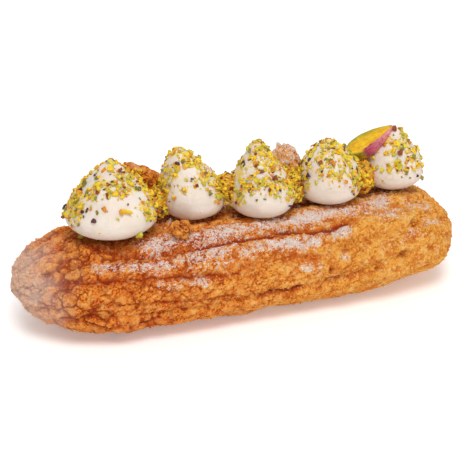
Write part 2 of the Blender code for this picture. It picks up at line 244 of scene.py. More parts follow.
class Sketch:
    """A finish being put together: each method adds a shader node and returns what it puts out.

    Attributes:
        NOISE_LOW: The noise that is spread to 0.
        NOISE_HIGH: The noise that is spread to 1.
        MIX_SHARE: The number of the colour mix's share socket. Its sockets' names repeat.
        MIX_BASE: The number of its first colour's socket.
        MIX_OTHER: The number of its second colour's socket.
        MIX_RESULT: The number of the socket that it puts the colour out at.
    """

    NOISE_LOW = 0.3
    NOISE_HIGH = 0.7
    MIX_SHARE = 0
    MIX_BASE = 6
    MIX_OTHER = 7
    MIX_RESULT = 2

    def __init__(self, name: str, roughness: float, specular: float = 0.3) -> None:
        """Starts a dull surface.

        Args:
            name: The material's name.
            roughness: The shader's roughness.
            specular: The strength of its gloss.
        """
        self.material = bpy.data.materials.new(name)
        self.material.use_nodes = True
        self.nodes = self.material.node_tree.nodes
        self.links = self.material.node_tree.links
        self.shader = self.nodes["Principled BSDF"]
        self.shader.inputs["Roughness"].default_value = roughness
        self.shader.inputs["Specular IOR Level"].default_value = specular
        self.spot = self.add("ShaderNodeTexCoord").outputs["Object"]

    def add(self, kind: str, inputs: dict | None = None, **settings: object) -> bpy.types.Node:
        """Adds a node, then links or fills its inputs.

        Args:
            kind: The node's type.
            inputs: A link or a value for each input, by name or number.
            settings: The node's own settings.

        Returns:
            The node.
        """
        node = self.nodes.new(kind)
        for name, value in settings.items():
            setattr(node, name, value)
        for key, value in (inputs or {}).items():
            if isinstance(value, bpy.types.NodeSocket):
                self.links.new(value, node.inputs[key])
            else:
                node.inputs[key].default_value = value
        return node

    def axis(self, letter: str) -> bpy.types.NodeSocket:
        """The place along X, Y or Z, in metres."""
        return self.add("ShaderNodeSeparateXYZ", {"Vector": self.spot}).outputs[letter]

    def noise(self, size: float, detail: float = 2.0, rough: float = 0.5) -> bpy.types.NodeSocket:
        """Cloudy noise with features of one size, spread over 0 to 1.

        Args:
            size: How wide its features are.
            detail: How many finer layers it has.
            rough: How strong the finer layers are.

        Returns:
            The noise.
        """
        inputs = {"Vector": self.spot, "Scale": 1 / size, "Detail": detail, "Roughness": rough}
        clouds = self.add("ShaderNodeTexNoise", inputs)
        return self.fade(clouds.outputs["Fac"], self.NOISE_LOW, self.NOISE_HIGH)

    def attribute(self, name: str) -> bpy.types.NodeSocket:
        """A number stored on the mesh."""
        return self.add("ShaderNodeAttribute", attribute_name=name).outputs["Fac"]

    def maths(self, operation: str, first: object, second: object) -> bpy.types.NodeSocket:
        """Adds, multiplies or compares two numbers, kept from 0 to 1."""
        node = self.add("ShaderNodeMath", {0: first, 1: second}, operation=operation, use_clamp=True)
        return node.outputs["Value"]

    def blend(self, first: object, second: object, share: float) -> bpy.types.NodeSocket:
        """Adds two numbers by the first one's share.

        Args:
            first: A link or a number.
            second: A link or a number.
            share: The first one's share. The second one has the rest.

        Returns:
            The sum.
        """
        part = self.maths("MULTIPLY", first, share)
        rest = self.maths("MULTIPLY", second, 1 - share)
        return self.maths("ADD", part, rest)

    def fade(self, value: object, low: object, high: object, top: float = 1.0) -> bpy.types.NodeSocket:
        """Goes smoothly from 0 at low to the top value at high."""
        inputs = {"Value": value, "From Min": low, "From Max": high, "To Min": 0.0, "To Max": top}
        return self.add("ShaderNodeMapRange", inputs, interpolation_type="SMOOTHSTEP").outputs["Result"]

    def mix(self, base: object, other: object, share: object) -> bpy.types.NodeSocket:
        """Lays one colour over another by a share."""
        inputs = {self.MIX_SHARE: share, self.MIX_BASE: base, self.MIX_OTHER: other}
        return self.add("ShaderNodeMix", inputs, data_type="RGBA").outputs[self.MIX_RESULT]

    def bump(self, height: object, distance: float) -> bpy.types.NodeSocket:
        """Tilts the surface by a height, where 1 stands out by the distance, in metres."""
        return self.add("ShaderNodeBump", {"Height": height, "Distance": distance}).outputs["Normal"]

    def done(self, colour: object, normal: object = None) -> bpy.types.Material:
        """Links the colour and the normal to the shader.

        Args:
            colour: The colour.
            normal: The surface's tilt, or None where it has none.

        Returns:
            The material.
        """
        self.links.new(colour, self.shader.inputs["Base Color"])
        if normal is not None:
            self.links.new(normal, self.shader.inputs["Normal"])
        return self.material


@dataclass(frozen=True)
class CrustFinish:
    """Baked crumb crust: golden to red-brown, dark in its cracks, with painted shade in its hollows and
    under the cream, paler tops that are partly painted highlight, and icing sugar.
    """

    name: str
    golden: Paint
    toasted: Paint
    rust: Paint
    dark: Paint
    pale: Paint

    # Where along X the crust turns from toasted to golden.
    toasted_x: float = -45 * MM
    golden_x: float = 45 * MM

    # How strong each effect is: rust blotches, paler crumb tops (partly painted highlight), how much the
    # painted gap shade weakens towards the golden end, and how much the tops' paling follows the golden
    # end.
    rusty: float = 0.5
    paling: float = 0.75
    calm: float = 0.4
    paling_towards_golden: float = 0.5

    # How wide each pattern is.
    cloud: float = 12 * MM
    blotch: float = 3.2 * MM
    grain: float = 0.6 * MM
    sugar_grain: float = 0.5 * MM
    sugar_shade: float = 0.45 * MM
    gap_shade: float = 0.85
    sugar_cut: float = 0.68
    sugar_drop: float = 0.56
    sugar_blur: float = 0.14

    def material(self) -> bpy.types.Material:
        """Makes the material.

        Returns:
            The material, which reads the attributes level, valley, sugar and wash and the one for cracks
            and painted shadow.
        """
        sketch = Sketch(self.name, roughness=0.85, specular=0.12)
        along = sketch.fade(sketch.axis("X"), self.toasted_x, self.golden_x)
        share = sketch.blend(along, sketch.noise(self.cloud, detail=3.0), share=0.7)
        colour = sketch.mix(self.toasted, self.golden, share)
        patches = sketch.noise(self.blotch, detail=4.0, rough=0.6)
        blotches = sketch.fade(patches, low=0.5, high=0.8, top=self.rusty)
        colour = sketch.mix(colour, self.rust, blotches)
        # Painted shade in the flute valleys and grooves, in rust.
        valleys = sketch.maths("MULTIPLY", sketch.attribute("valley"), self.gap_shade)
        colour = sketch.mix(colour, self.rust, valleys)

        # Paler crumb tops, partly their own tone and partly painted highlight; painted shade in the gaps
        # between the crumbs, in rust and then dark, weaker towards the golden end.
        fine = sketch.noise(self.grain, detail=3.0, rough=0.7)
        height = sketch.blend(sketch.attribute("level"), fine, share=0.55)
        tops = sketch.fade(height, low=0.52, high=0.78, top=self.paling)
        tops = sketch.maths("MULTIPLY", tops, sketch.blend(along, 1.0, share=self.paling_towards_golden))
        colour = sketch.mix(colour, self.pale, tops)

        gaps = sketch.maths("SUBTRACT", self.gap_shade, sketch.maths("MULTIPLY", along, self.calm))
        low = sketch.maths("MULTIPLY", sketch.fade(height, low=0.46, high=0.28), gaps)
        deep = sketch.maths("MULTIPLY", sketch.fade(height, low=0.32, high=0.14), gaps)
        colour = sketch.mix(colour, self.rust, low)
        colour = sketch.mix(colour, self.dark, deep)
        # Dark in the cracks, and painted shade along the grooves' middles, in the pits and around the
        # kisses' feet.
        cracks_and_shadow = sketch.fade(sketch.attribute("crack"), low=0.1, high=0.75, top=0.92)
        colour = sketch.mix(colour, self.dark, cracks_and_shadow)

        colour = sketch.mix(colour, WASHED, sketch.attribute("wash"))
        specks = sketch.noise(self.sugar_shade, detail=2.0, rough=0.6)
        grains = sketch.mix(SUGAR_WHITE, SUGAR_SHADE, specks)
        colour = sketch.mix(colour, grains, self.sugar(sketch))
        return sketch.done(colour, sketch.bump(height, self.grain))

    def sugar(self, sketch: Sketch) -> bpy.types.NodeSocket:
        """Icing sugar on the tops of the crumbs, on more of them the more the surface is dusted.

        Args:
            sketch: The finish that it belongs to.

        Returns:
            How much sugar covers each spot.
        """
        dusted = sketch.attribute("sugar")
        fine = sketch.noise(self.sugar_grain, detail=3.0, rough=0.7)
        height = sketch.blend(sketch.attribute("level"), fine, share=0.4)
        drop = sketch.maths("MULTIPLY", dusted, self.sugar_drop)
        cut = sketch.maths("SUBTRACT", self.sugar_cut, drop)
        dense = sketch.maths("ADD", cut, self.sugar_blur)
        spread = sketch.fade(height, cut, dense, top=0.95)
        return sketch.maths("MULTIPLY", spread, sketch.fade(dusted, low=0.0, high=0.12))


@dataclass(frozen=True)
class CreamFinish:
    """Whipped cream: smooth, warm off-white and a little see-through, with fine nut dust on it."""

    name: str
    cream: Paint
    warm: Paint
    dust: Paint
    patch: float = 7 * MM
    speck: float = 0.9 * MM
    speck_group: float = 3 * MM
    dust_cut: float = 0.92
    dust_drop: float = 0.52
    dust_blur: float = 0.22

    def material(self) -> bpy.types.Material:
        """Makes the material.

        Returns:
            The material, which reads the attribute dust.
        """
        sketch = Sketch(self.name, roughness=0.5, specular=0.35)
        sketch.shader.inputs["Subsurface Weight"].default_value = 0.25
        sketch.shader.inputs["Subsurface Radius"].default_value = (1.0, 0.6, 0.35)
        sketch.shader.inputs["Subsurface Scale"].default_value = 1.5 * MM
        colour = sketch.mix(self.cream, self.warm, sketch.noise(self.patch))
        fine = sketch.noise(self.speck, detail=3.0, rough=0.6)
        specks = sketch.blend(fine, sketch.noise(self.speck_group), share=0.6)
        drop = sketch.maths("MULTIPLY", sketch.attribute("dust"), self.dust_drop)
        cut = sketch.maths("SUBTRACT", self.dust_cut, drop)
        dense = sketch.maths("ADD", cut, self.dust_blur)
        colour = sketch.mix(colour, self.dust, sketch.fade(specks, cut, dense, top=0.85))
        return sketch.done(colour, sketch.bump(sketch.noise(2.5 * MM, detail=3.0), distance=0.1 * MM))


@dataclass(frozen=True)
class NutFinish:
    """Chopped nut flesh or skin: one tone with a second one mottled into it.

    Attributes:
        tone: The main colour.
        second: The mottled colour.
        roughness: How dull the surface is.
        mottle: How wide the mottling is.
        grain: How wide the surface's fine grain is.
    """

    tone: Paint
    second: Paint
    roughness: float = 0.5
    mottle: float = 1.6 * MM
    grain: float = 0.5 * MM

    def material(self, name: str) -> bpy.types.Material:
        """Makes the material.

        Args:
            name: The material's name.

        Returns:
            The material.
        """
        sketch = Sketch(name, self.roughness)
        colour = sketch.mix(self.tone, self.second, sketch.noise(self.mottle, detail=3.0))
        return sketch.done(colour, sketch.bump(sketch.noise(self.grain), distance=0.1 * MM))


class NutKind(Enum):
    """The tones of chopped pistachio, each with its finish."""

    YELLOW = NutFinish(paint(246, 214, 56), paint(234, 186, 38))
    AMBER = NutFinish(paint(234, 172, 50), paint(212, 130, 36))
    LIME = NutFinish(paint(222, 206, 74), paint(190, 174, 50))
    OLIVE = NutFinish(paint(158, 146, 64), paint(116, 104, 44))
    RUSSET = NutFinish(paint(164, 84, 40), paint(124, 50, 26))
    SKIN = NutFinish(paint(98, 56, 50), paint(62, 32, 36))


WASHED = paint(248, 222, 204)
SUGAR_WHITE = paint(255, 246, 242)
SUGAR_SHADE = paint(222, 192, 180)


@dataclass(frozen=True)
class SugarFinish:
    """Icing sugar in grains: white, with faintly shaded ones among them."""

    white: Paint = SUGAR_WHITE
    shaded: Paint = paint(232, 222, 220)
    patch: float = 1.0 * MM
    roughness: float = 0.6

    def material(self) -> bpy.types.Material:
        """Makes the material.

        Returns:
            The material.
        """
        sketch = Sketch("icing sugar", self.roughness)
        return sketch.done(sketch.mix(self.white, self.shaded, sketch.noise(self.patch)))


@dataclass(frozen=True)
class FloorFinish:
    """The plain floor: nearly white, and shining a little by itself so that it stays so."""

    light: Paint = paint(250, 250, 250)
    dim: Paint = paint(247, 247, 247)
    patch: float = 0.2
    glow: float = 0.22

    def material(self) -> bpy.types.Material:
        """Makes the material.

        Returns:
            The material.
        """
        sketch = Sketch("pale floor", roughness=0.9, specular=0.1)
        sketch.shader.inputs["Emission Color"].default_value = (1.0, 1.0, 1.0, 1.0)
        sketch.shader.inputs["Emission Strength"].default_value = self.glow
        return sketch.done(sketch.mix(self.light, self.dim, sketch.noise(self.patch)))


# Rust serves the choux's own blotches and the painted shade in its valleys and crumb gaps; dark serves its
# cracks and the painted shade in its deep gaps, grooves and pits and the painted shadow around the kisses'
# feet.
CHOUX = CrustFinish(
    name="baked choux",
    golden=paint(252, 180, 74),
    toasted=paint(246, 146, 54),
    rust=paint(214, 98, 34),
    dark=paint(158, 54, 16),
    pale=paint(255, 214, 140),
)
# Rust serves the crumble's own blotches and the painted shade in its shallow gaps; dark is painted shade in
# its deep gaps.
CRUMBLE = CrustFinish(
    name="crumble",
    golden=paint(250, 184, 104),
    toasted=paint(242, 146, 36),
    rust=paint(202, 96, 30),
    dark=paint(92, 34, 26),
    pale=paint(255, 206, 116),
    paling=0.5,
)
CREAM = CreamFinish("whipped cream", paint(234, 222, 210), paint(228, 213, 196), paint(232, 200, 78))


@dataclass
class Studio:
    """The camera at the photograph's viewing angle, a pale floor and soft light."""

    azimuth: float = math.radians(-20)
    elevation: float = math.radians(24)
    distance: float = 390 * MM
    target: Vector = field(default_factory=lambda: Vector((-1.2, 0.0, 19.3)) * MM)
    focal_pixels: float = 1295.0
    picture: int = 472
    sensor: float = 36.0
    floor_size: float = 3.0
    floor_drop: float = 0.05 * MM
    surroundings: float = 0.42

    @property
    def back(self) -> Vector:
        """The direction from the target to the camera.

        Returns:
            The direction, which is of length 1.
        """
        level = math.cos(self.elevation)
        side, front = math.sin(self.azimuth) * level, math.cos(self.azimuth) * level
        return Vector((side, -front, math.sin(self.elevation)))

    def pixel_ray(self, x: float, y: float) -> tuple[Vector, Vector]:
        """The camera's line of sight through a pixel of the photograph.

        Args:
            x: Pixels from the left.
            y: Pixels from the top.

        Returns:
            The camera's place and the direction that it looks in.
        """
        turn = (-self.back).to_track_quat("-Z", "Y")
        half = self.picture / 2
        aim = turn @ Vector((x - half, half - y, -self.focal_pixels))
        return self.target + self.back * self.distance, aim.normalized()

    def pixel(self, spot: Vector) -> Vector:
        """The pixel of the photograph that shows a spot.

        Args:
            spot: The spot.

        Returns:
            Its pixels from the left and from the top.
        """
        turn = (-self.back).to_track_quat("-Z", "Y")
        local = turn.inverted() @ (spot - self.target - self.back * self.distance)
        half = self.picture / 2
        return Vector((half, half)) + Vector((local.x, -local.y)) * self.focal_pixels / -local.z

    def seen(self, x: float, y: float, carriers: Iterable[BVHTree]) -> tuple[Vector, Vector] | None:
        """The nearest spot that the camera sees at a pixel of the photograph.

        Args:
            x: Pixels from the left.
            y: Pixels from the top.
            carriers: The surfaces that it may lie on.

        Returns:
            The spot and the direction that points out of its surface, or None where there is none.
        """
        start, aim = self.pixel_ray(x, y)
        hits = [tree.ray_cast(start, aim) for tree in carriers]
        hits = [hit for hit in hits if hit[0] is not None]
        if not hits:
            return None
        spot, out, _, _ = min(hits, key=lambda hit: hit[3])
        return spot, out

    def build_camera(self) -> None:
        """Sets up the camera."""
        camera = bpy.data.cameras.new("camera")
        camera.sensor_width = self.sensor
        camera.lens = self.focal_pixels / self.picture * self.sensor
        camera.clip_start = 10 * MM
        obj = bpy.data.objects.new("camera", camera)
        obj.location = self.target + self.back * self.distance
        obj.rotation_euler = (-self.back).to_track_quat("-Z", "Y").to_euler()
        bpy.context.scene.collection.objects.link(obj)
        bpy.context.scene.camera = obj

    def build_floor(self) -> None:
        """Lays the plain pale floor."""
        half = self.floor_size / 2
        corners = [(-half, -half), (half, -half), (half, half), (-half, half)]
        points = [(x, y, -self.floor_drop) for x, y in corners]
        floor = mesh_object("floor", points, [(0, 1, 2, 3)])
        floor.data.materials.append(FloorFinish().material())

    def add_lamp(self, name: str, place: tuple[float, float, float], size: float, power: float) -> None:
        """Hangs a square soft light that shines on the eclair.

        Args:
            name: The light's name.
            place: Where it hangs.
            size: How wide it is.
            power: How strong it is, in watts.
        """
        light = bpy.data.lights.new(name, "AREA")
        light.size = size
        light.energy = power
        obj = bpy.data.objects.new(name, light)
        obj.location = place
        obj.rotation_euler = (self.target - Vector(place)).to_track_quat("-Z", "Y").to_euler()
        bpy.context.scene.collection.objects.link(obj)

    def build_lights(self) -> None:
        """Sets up the soft lights and the white surroundings."""
        self.add_lamp("key", place=(-0.1, -0.38, 0.75), size=0.4, power=4.1)
        self.add_lamp("fill", place=(0.7, -0.6, 0.4), size=0.6, power=1.3)
        self.add_lamp("back", place=(0.2, 0.6, 0.6), size=0.5, power=1.6)
        world = bpy.data.worlds.new("soft box")
        world.use_nodes = True
        background = world.node_tree.nodes["Background"]
        background.inputs["Color"].default_value = (1.0, 1.0, 1.0, 1.0)
        background.inputs["Strength"].default_value = self.surroundings
        bpy.context.scene.world = world
        bpy.context.scene.view_settings.view_transform = "Standard"


@dataclass(frozen=True)
class CrumbRelief:
    """Fine relief of a baked crumb crust: clumps of crumbs, single crumbs, grit and cracks."""

    clump: float = 2.6 * MM
    clump_height: float = 0.36 * MM
    crumb: float = 1.3 * MM
    crumb_height: float = 0.3 * MM
    grit: float = 0.7 * MM
    grit_height: float = 0.18 * MM
    cobble: float = 3.6 * MM
    stretch: float = 1.3
    crack_width: float = 0.23
    crack_depth: float = 0.6 * MM
    stir: float = 1.0 * MM
    stir_ratio: float = 3.0
    uncracked: float = 1.3
    cracking: Ramp = Ramp(-0.6, 0.1)
    crumb_gap: float = 0.4
    crumb_fall: float = 0.8
    crumb_sink: float = 0.15
    clump_top: float = 0.9
    clump_fall: float = 1.8
    contrast: float = 1.1

    def stirred(self, spot: Vector) -> Vector:
        """Moves a spot a little, so that what is drawn there runs unevenly.

        Args:
            spot: The spot.

        Returns:
            The moved spot, drawn together along X by the stretch.
        """
        moved = spot + self.stir * noise_vector(spot / (self.stir_ratio * self.stir))
        moved += self.stir / self.stir_ratio * noise_vector(spot / self.stir)
        moved.x /= self.stretch
        return moved

    def cracked(self, spot: Vector) -> float:
        """How far inside a crack a spot is.

        Args:
            spot: The stirred spot.

        Returns:
            0 outside cracks to 1 in the middle of one.
        """
        near, next_near = noise.voronoi(spot / self.cobble)[0][:2]
        uneven = self.cracking.at(noise.noise(spot / (self.uncracked * self.cobble)))
        return uneven * max(0.0, 1 - (next_near - near) / self.crack_width)

    def height(self, spot: Vector) -> float:
        """How high a spot is on its clump, its crumb and its grit.

        Args:
            spot: The stirred spot.

        Returns:
            The height in metres, around 0.
        """
        clump = noise.voronoi(spot / self.clump)[0][0]
        near, next_near = noise.voronoi(spot / self.crumb)[0][:2]
        crumb = min(1.0, (next_near - near) / self.crumb_gap) - self.crumb_fall * near - self.crumb_sink
        high = self.clump_height * (self.clump_top - self.clump_fall * clump) + self.crumb_height * crumb
        return high + self.grit_height * noise.noise(spot / self.grit)

    def level(self, height: float) -> float:
        """Spreads a height over 0 to 1, from the bottom of the gaps to the tops of the crumbs."""
        most = self.clump_height + self.crumb_height
        return min(1.0, max(0.0, 0.5 + self.contrast * height / most))


@dataclass(frozen=True)
class SeenStroke:
    """A line that the photograph shows along the crust, such as a groove or a dusting of sugar.

    Attributes:
        width: How far it reaches to each side, in millimetres.
        strength: How strong it is in its middle.
        pixels: The pixels that it runs through.
    """

    width: float
    strength: float
    pixels: tuple[tuple[float, float], ...]

    def nearness(self, studio: Studio, tree: BVHTree, points: np.ndarray) -> np.ndarray:
        """How near points are to the line, from 0 at its edge to 1 in its middle.

        Args:
            studio: The camera that it is seen with.
            tree: The surface that it lies on.
            points: The points.

        Returns:
            The nearness of each point.
        """
        found = [studio.seen(x, y, [tree]) for x, y in self.pixels]
        line = [np.array(hit[0]) for hit in found if hit]
        away = np.full(len(points), np.inf)
        for first, last in zip(line, line[1:]):
            step = last - first
            share = np.clip((points - first) @ step / (step @ step), 0, 1)
            away = np.minimum(away, np.linalg.norm(points - first - share[:, None] * step, axis=1))
        return np.clip(1 - away / (self.width * MM), 0, 1)


# Grooves: the crust is cut in along them, and they get painted shade, darkest along their middles.
SEEN_GROOVES = (
    SeenStroke(1.9, 0.78, ((91, 246), (108, 249), (125, 251), (149, 252), (172, 249), (197, 246))),
    SeenStroke(2.4, 1.0, ((197, 246), (220, 242), (240, 237), (264, 234), (272, 233))),
    SeenStroke(2.5, 1.0, ((278, 229), (304, 228), (333, 227), (347, 222))),
    SeenStroke(1.8, 0.8, ((60, 281), (82, 281), (120, 279), (154, 276), (197, 275), (240, 271))),
    SeenStroke(1.3, 0.65, ((150, 302), (180, 301), (202, 300), (235, 295))),
    SeenStroke(1.3, 0.85, ((45, 320), (63, 318), (80, 321), (103, 326), (117, 323))),
    SeenStroke(1.4, 0.9, ((140, 321), (159, 318))),
    SeenStroke(1.5, 0.9, ((262, 296), (271, 293), (290, 291), (302, 289))),
    SeenStroke(1.5, 0.7, ((330, 279), (338, 277), (346, 275))),
    SeenStroke(1.0, 0.6, ((352, 276), (359, 273), (366, 270))),
    SeenStroke(3.2, 0.4, ((285, 256), (305, 254), (322, 259))),
    SeenStroke(1.3, 0.8, ((56, 243), (77, 234))),
    SeenStroke(1.1, 0.6, ((55, 256), (73, 254), (86, 256))),
)
SEEN_DUSTING = (
    SeenStroke(4.6, 1.0, ((146, 243), (165, 240), (185, 238), (199, 237), (215, 233), (240, 228))),
    SeenStroke(4.2, 0.95, ((240, 228), (262, 224), (281, 220), (305, 216), (330, 211))),
    SeenStroke(4.2, 1.0, ((330, 211), (357, 208), (371, 200), (384, 196))),
    SeenStroke(2.6, 0.7, ((92, 267), (108, 266), (122, 265), (140, 265))),
    SeenStroke(3.4, 0.8, ((140, 265), (171, 261), (190, 259))),
    SeenStroke(4.4, 1.0, ((190, 259), (206, 256), (220, 253))),
    SeenStroke(3.6, 0.8, ((220, 253), (240, 250), (262, 245), (285, 242))),
    SeenStroke(3.4, 0.85, ((285, 242), (309, 240), (323, 234), (345, 228))),
    SeenStroke(2.4, 0.45, ((160, 286), (170, 285), (206, 280), (215, 279))),
    SeenStroke(2.4, 0.4, ((303, 266), (320, 265))),
    SeenStroke(1.3, 0.7, ((343, 255), (350, 255))),
    SeenStroke(3.6, 0.6, ((384, 212), (401, 208), (412, 200), (426, 203))),
    SeenStroke(1.8, 0.6, ((414, 230), (425, 229))),
    SeenStroke(2.2, 0.45, ((398, 240), (408, 237))),
    SeenStroke(1.8, 0.6, ((430, 220), (440, 218))),
)


@dataclass(frozen=True)
class SeenPit:
    """A small burst bubble that the photograph shows in the crust.

    Attributes:
        x: Its pixels from the left.
        y: Its pixels from the top.
        radius: Its real radius.
    """

    x: float
    y: float
    radius: float


SEEN_PITS = (
    SeenPit(407, 252, 2.3 * MM),
    SeenPit(417, 219, 2.0 * MM),
    SeenPit(347, 248, 1.7 * MM),
    SeenPit(380, 268, 1.0 * MM),
    SeenPit(333, 268, 0.9 * MM),
)


# How finely the plain log is walked along to find equal steps
STATION_SAMPLES = 4001
ANGLE_SAMPLES = 2001


@dataclass
class ChouxShell:
    """The baked choux: a piped, fluted log with a crumbly, cracked crust and a flat foot.

    The sizes down to cobble_from are those of the solid that it stands for. Angles run round
    the log from its front over its top, in radians, and turns are the same in degrees.
    """

    studio: Studio
    node: str = "choux_shell"

    # The plain log.
    length: float = 140 * MM
    width: float = 48.5 * MM
    height: float = 28.5 * MM
    widest_at: float = 13.6 * MM
    left_end_power: float = 5.2
    right_end_power: float = 7.5
    side_round: float = 0.9
    crest_round: float = 0.8
    foot_overshoot: float = 1.05
    left_lift: float = 2.4 * MM
    left_lift_power: float = 6
    right_lift: float = 2.5 * MM
    right_lift_from: float = 0.25
    right_lift_to: float = 0.8
    right_bend: float = 2.0 * MM

    # The piped flutes, and how they fade at the ends and underneath.
    flutes: int = 12
    flute_depth: float = 1.5 * MM
    flute_round: float = 2.6
    first_groove: float = math.radians(51)
    flute_twist: float = math.radians(20)
    flute_wander: float = math.radians(5)
    wander_length: float = 32 * MM
    wander_round: float = 1.5
    fade_power: float = 6
    foot_fade: float = 0.9

    # The lumps, swells and left-hand cobbles of the solid.
    lump_size: float = 9 * MM
    lump_height: float = 0.9 * MM
    swell_size: float = 26 * MM
    swell_height: float = 1.1 * MM
    cobble_size: float = 5.5 * MM
    cobble_height: float = 0.8 * MM
    cobble_from: float = -0.45

    # The mesh: its steps along and round the log, and the share of them kept underneath.
    along: int = 372
    around: int = 262
    underneath: float = -0.55
    under_share: float = 0.45

    # The baked-open grooves by formula, and how raggedly all lines run.
    groove_width: float = 0.17
    groove_depth: float = 1.6 * MM
    groove_break: float = 11 * MM
    groove_least: float = 0.3
    breaking: Ramp = Ramp(-0.45, 0.1)
    rag: float = 4 * MM
    fray: float = 1.4 * MM
    groove_rag: float = 0.16
    groove_fray: float = 0.08
    line_rag: float = 0.8 * MM
    line_fray: float = 0.45 * MM

    # How deep valleys and grooves are, how dark their painted shade is, and where the formula's show.
    flank: Ramp = Ramp(0.55, 1.0)
    valley_shade: float = 0.6
    seen_flank: Ramp = Ramp(0.0, 0.6)
    seen_core: Ramp = Ramp(0.4, 0.95)
    core_share: float = 0.6
    core_calm: float = 0.5
    over: Ramp = Ramp(80, 110)
    under: Ramp = Ramp(-30, -60)
    formula_least: float = 0.15

    # Where the crust is cracked into cobbles.
    cobbled: Ramp = Ramp(-0.1, 0.9)
    cobbled_least: float = 0.1
    cobbled_patch: float = 11 * MM
    cobbled_patches: Ramp = Ramp(0.0, 0.5)
    cobbled_most: float = 0.3
    crack_shade: float = 0.8

    # The pits, each with a raised rim and painted shade inside.
    pit_shade: float = 0.45
    pit_depth: float = 1.0 * MM
    pit_bowl: Ramp = Ramp(1.05, 0.35)
    rim_inside: Ramp = Ramp(0.9, 1.2)
    rim_outside: Ramp = Ramp(1.9, 1.3)
    rim: float = 0.25

    # The icing sugar by formula.
    sugar_most: float = 0.7
    sugar_back: Ramp = Ramp(74, 100)
    sugar_end: Ramp = Ramp(196, 140)
    sugar_left: Ramp = Ramp(-56 * MM, -30 * MM)
    sugar_right: Ramp = Ramp(66 * MM, 46 * MM)
    sugar_patch: float = 6 * MM
    sugar_patches: Ramp = Ramp(-0.4, 0.3)
    sugar_valley: float = 0.15

    # The smoother right end, the gap to the solid's box and the pale left tip.
    smooth: Ramp = Ramp(-0.2, 0.6)
    right_smooth: float = 0.15
    edge: float = 0.3 * MM
    washed: Ramp = Ramp(-52 * MM, -70 * MM)
    wash_most: float = 0.65
    wash_broad: tuple[float, float] = (8 * MM, 5 * MM)
    wash_fine: tuple[float, float] = (2 * MM, 2 * MM)
    relief: CrumbRelief = CrumbRelief()
    pits: list[tuple[Vector, float]] = field(default_factory=list)
    obj: bpy.types.Object | None = None
    tree: BVHTree | None = None

    def end_girth(self, place: float) -> float:
        """How much of its full girth the log has, place running -1 to 1 along it."""
        power = self.left_end_power if place < 0 else self.right_end_power
        return math.sqrt(max(0.0, 1 - abs(place) ** power))

    def end_lift(self, place: float) -> float:
        """How far the underside rises off the table towards the ends.

        Args:
            place: Where along the log, from -1 to 1.

        Returns:
            The rise.
        """
        if place < 0:
            return self.left_lift * abs(place) ** self.left_lift_power
        return self.right_lift * fade(place, self.right_lift_from, self.right_lift_to)

    def plain_point(self, place: float, angle: float) -> Vector:
        """A point of the plain log, before any relief.

        Args:
            place: Where it is along the log, from -1 to 1.
            angle: Where it is round the log.

        Returns:
            The point.
        """
        end = self.end_girth(place)
        side = signed_power(math.cos(angle), self.side_round)
        rise = signed_power(math.sin(angle), self.crest_round)
        if rise > 0:
            z = self.widest_at + (self.height - self.widest_at) * end**self.crest_round * rise
        else:
            z = self.widest_at * (1 + self.foot_overshoot * end**self.crest_round * rise)
        z += self.end_lift(place) * (1 - rise) / 2
        bend = self.right_bend * max(0.0, place) ** 2
        return Vector((place * self.length / 2, bend - self.width / 2 * end * side, z))

    def across_flute(self, x: float, place: float, angle: float) -> float:
        """Where a spot is across its flute.

        Args:
            x: Where it is along X.
            place: Where it is along the log, from -1 to 1.
            angle: Where it is round the log.

        Returns:
            0 on the crest, -1 and 1 in the grooves.
        """
        spot = Vector((x / self.wander_length, self.wander_round * math.cos(angle), SEED))
        wander = self.flute_wander * noise.noise(spot)
        twist = self.flute_twist * ((place + 1) / 2) ** 2
        turn = (angle - self.first_groove - twist - wander) / (2 * math.pi / self.flutes)
        return 2 * (turn % 1) - 1

    def flute_strength(self, place: float, angle: float) -> float:
        """How strongly the flutes show: not at the ends, and little underneath."""
        lowness = max(0.0, -math.sin(angle))
        return (1 - abs(place) ** self.fade_power) * (1 - self.foot_fade * lowness**2)

    def coarse_relief(self, co: Vector, place: float, across: float, strength: float) -> float:
        """How far the flutes, lumps and cobbles of the solid stand out.

        Args:
            co: The point on the plain log.
            place: Where it is along the log, from -1 to 1.
            across: Where it is across its flute.
            strength: How strongly the flutes show there.

        Returns:
            The relief there.
        """
        flute = self.flute_depth * strength * (1 - abs(across) ** self.flute_round)
        lump = self.lump_height * noise.noise(co / self.lump_size)
        swell = self.swell_height * noise.noise(co / self.swell_size + Vector((0, 0, SEED)))
        cobbled = max(0.0, (self.cobble_from - place) / (1 + self.cobble_from))
        cobble = self.cobble_height * cobbled * noise.noise(co / self.cobble_size + Vector((SEED, 0, 0)))
        return flute + lump + swell + cobble

    def groove(self, co: Vector, across: float, strength: float) -> float:
        """How far inside a baked-open groove a spot is; there the crust is cut in and gets painted shade.
        The grooves are ragged and broken.

        Args:
            co: The point on the plain log.
            across: Where it is across its flute.
            strength: How strongly the flutes show there.

        Returns:
            0 outside the grooves to 1 in the middle of a strong one.
        """
        ragged = across + self.groove_rag * noise.noise(co / self.rag)
        ragged += self.groove_fray * noise.noise(co / self.fray)
        edge = fade(abs((ragged + 1) % 2 - 1), 1 - self.groove_width, 1.0)
        whole = self.breaking.at(noise.noise(co / self.groove_break + Vector((0, SEED, 0))))
        return edge * (self.groove_least + (1 - self.groove_least) * whole) * strength

    def find_pits(self) -> None:
        """Finds where the pits of the photograph lie on the plain log."""
        for pit in SEEN_PITS:
            found = self.studio.seen(pit.x, pit.y, [self.tree])
            if found:
                self.pits.append((found[0], pit.radius))

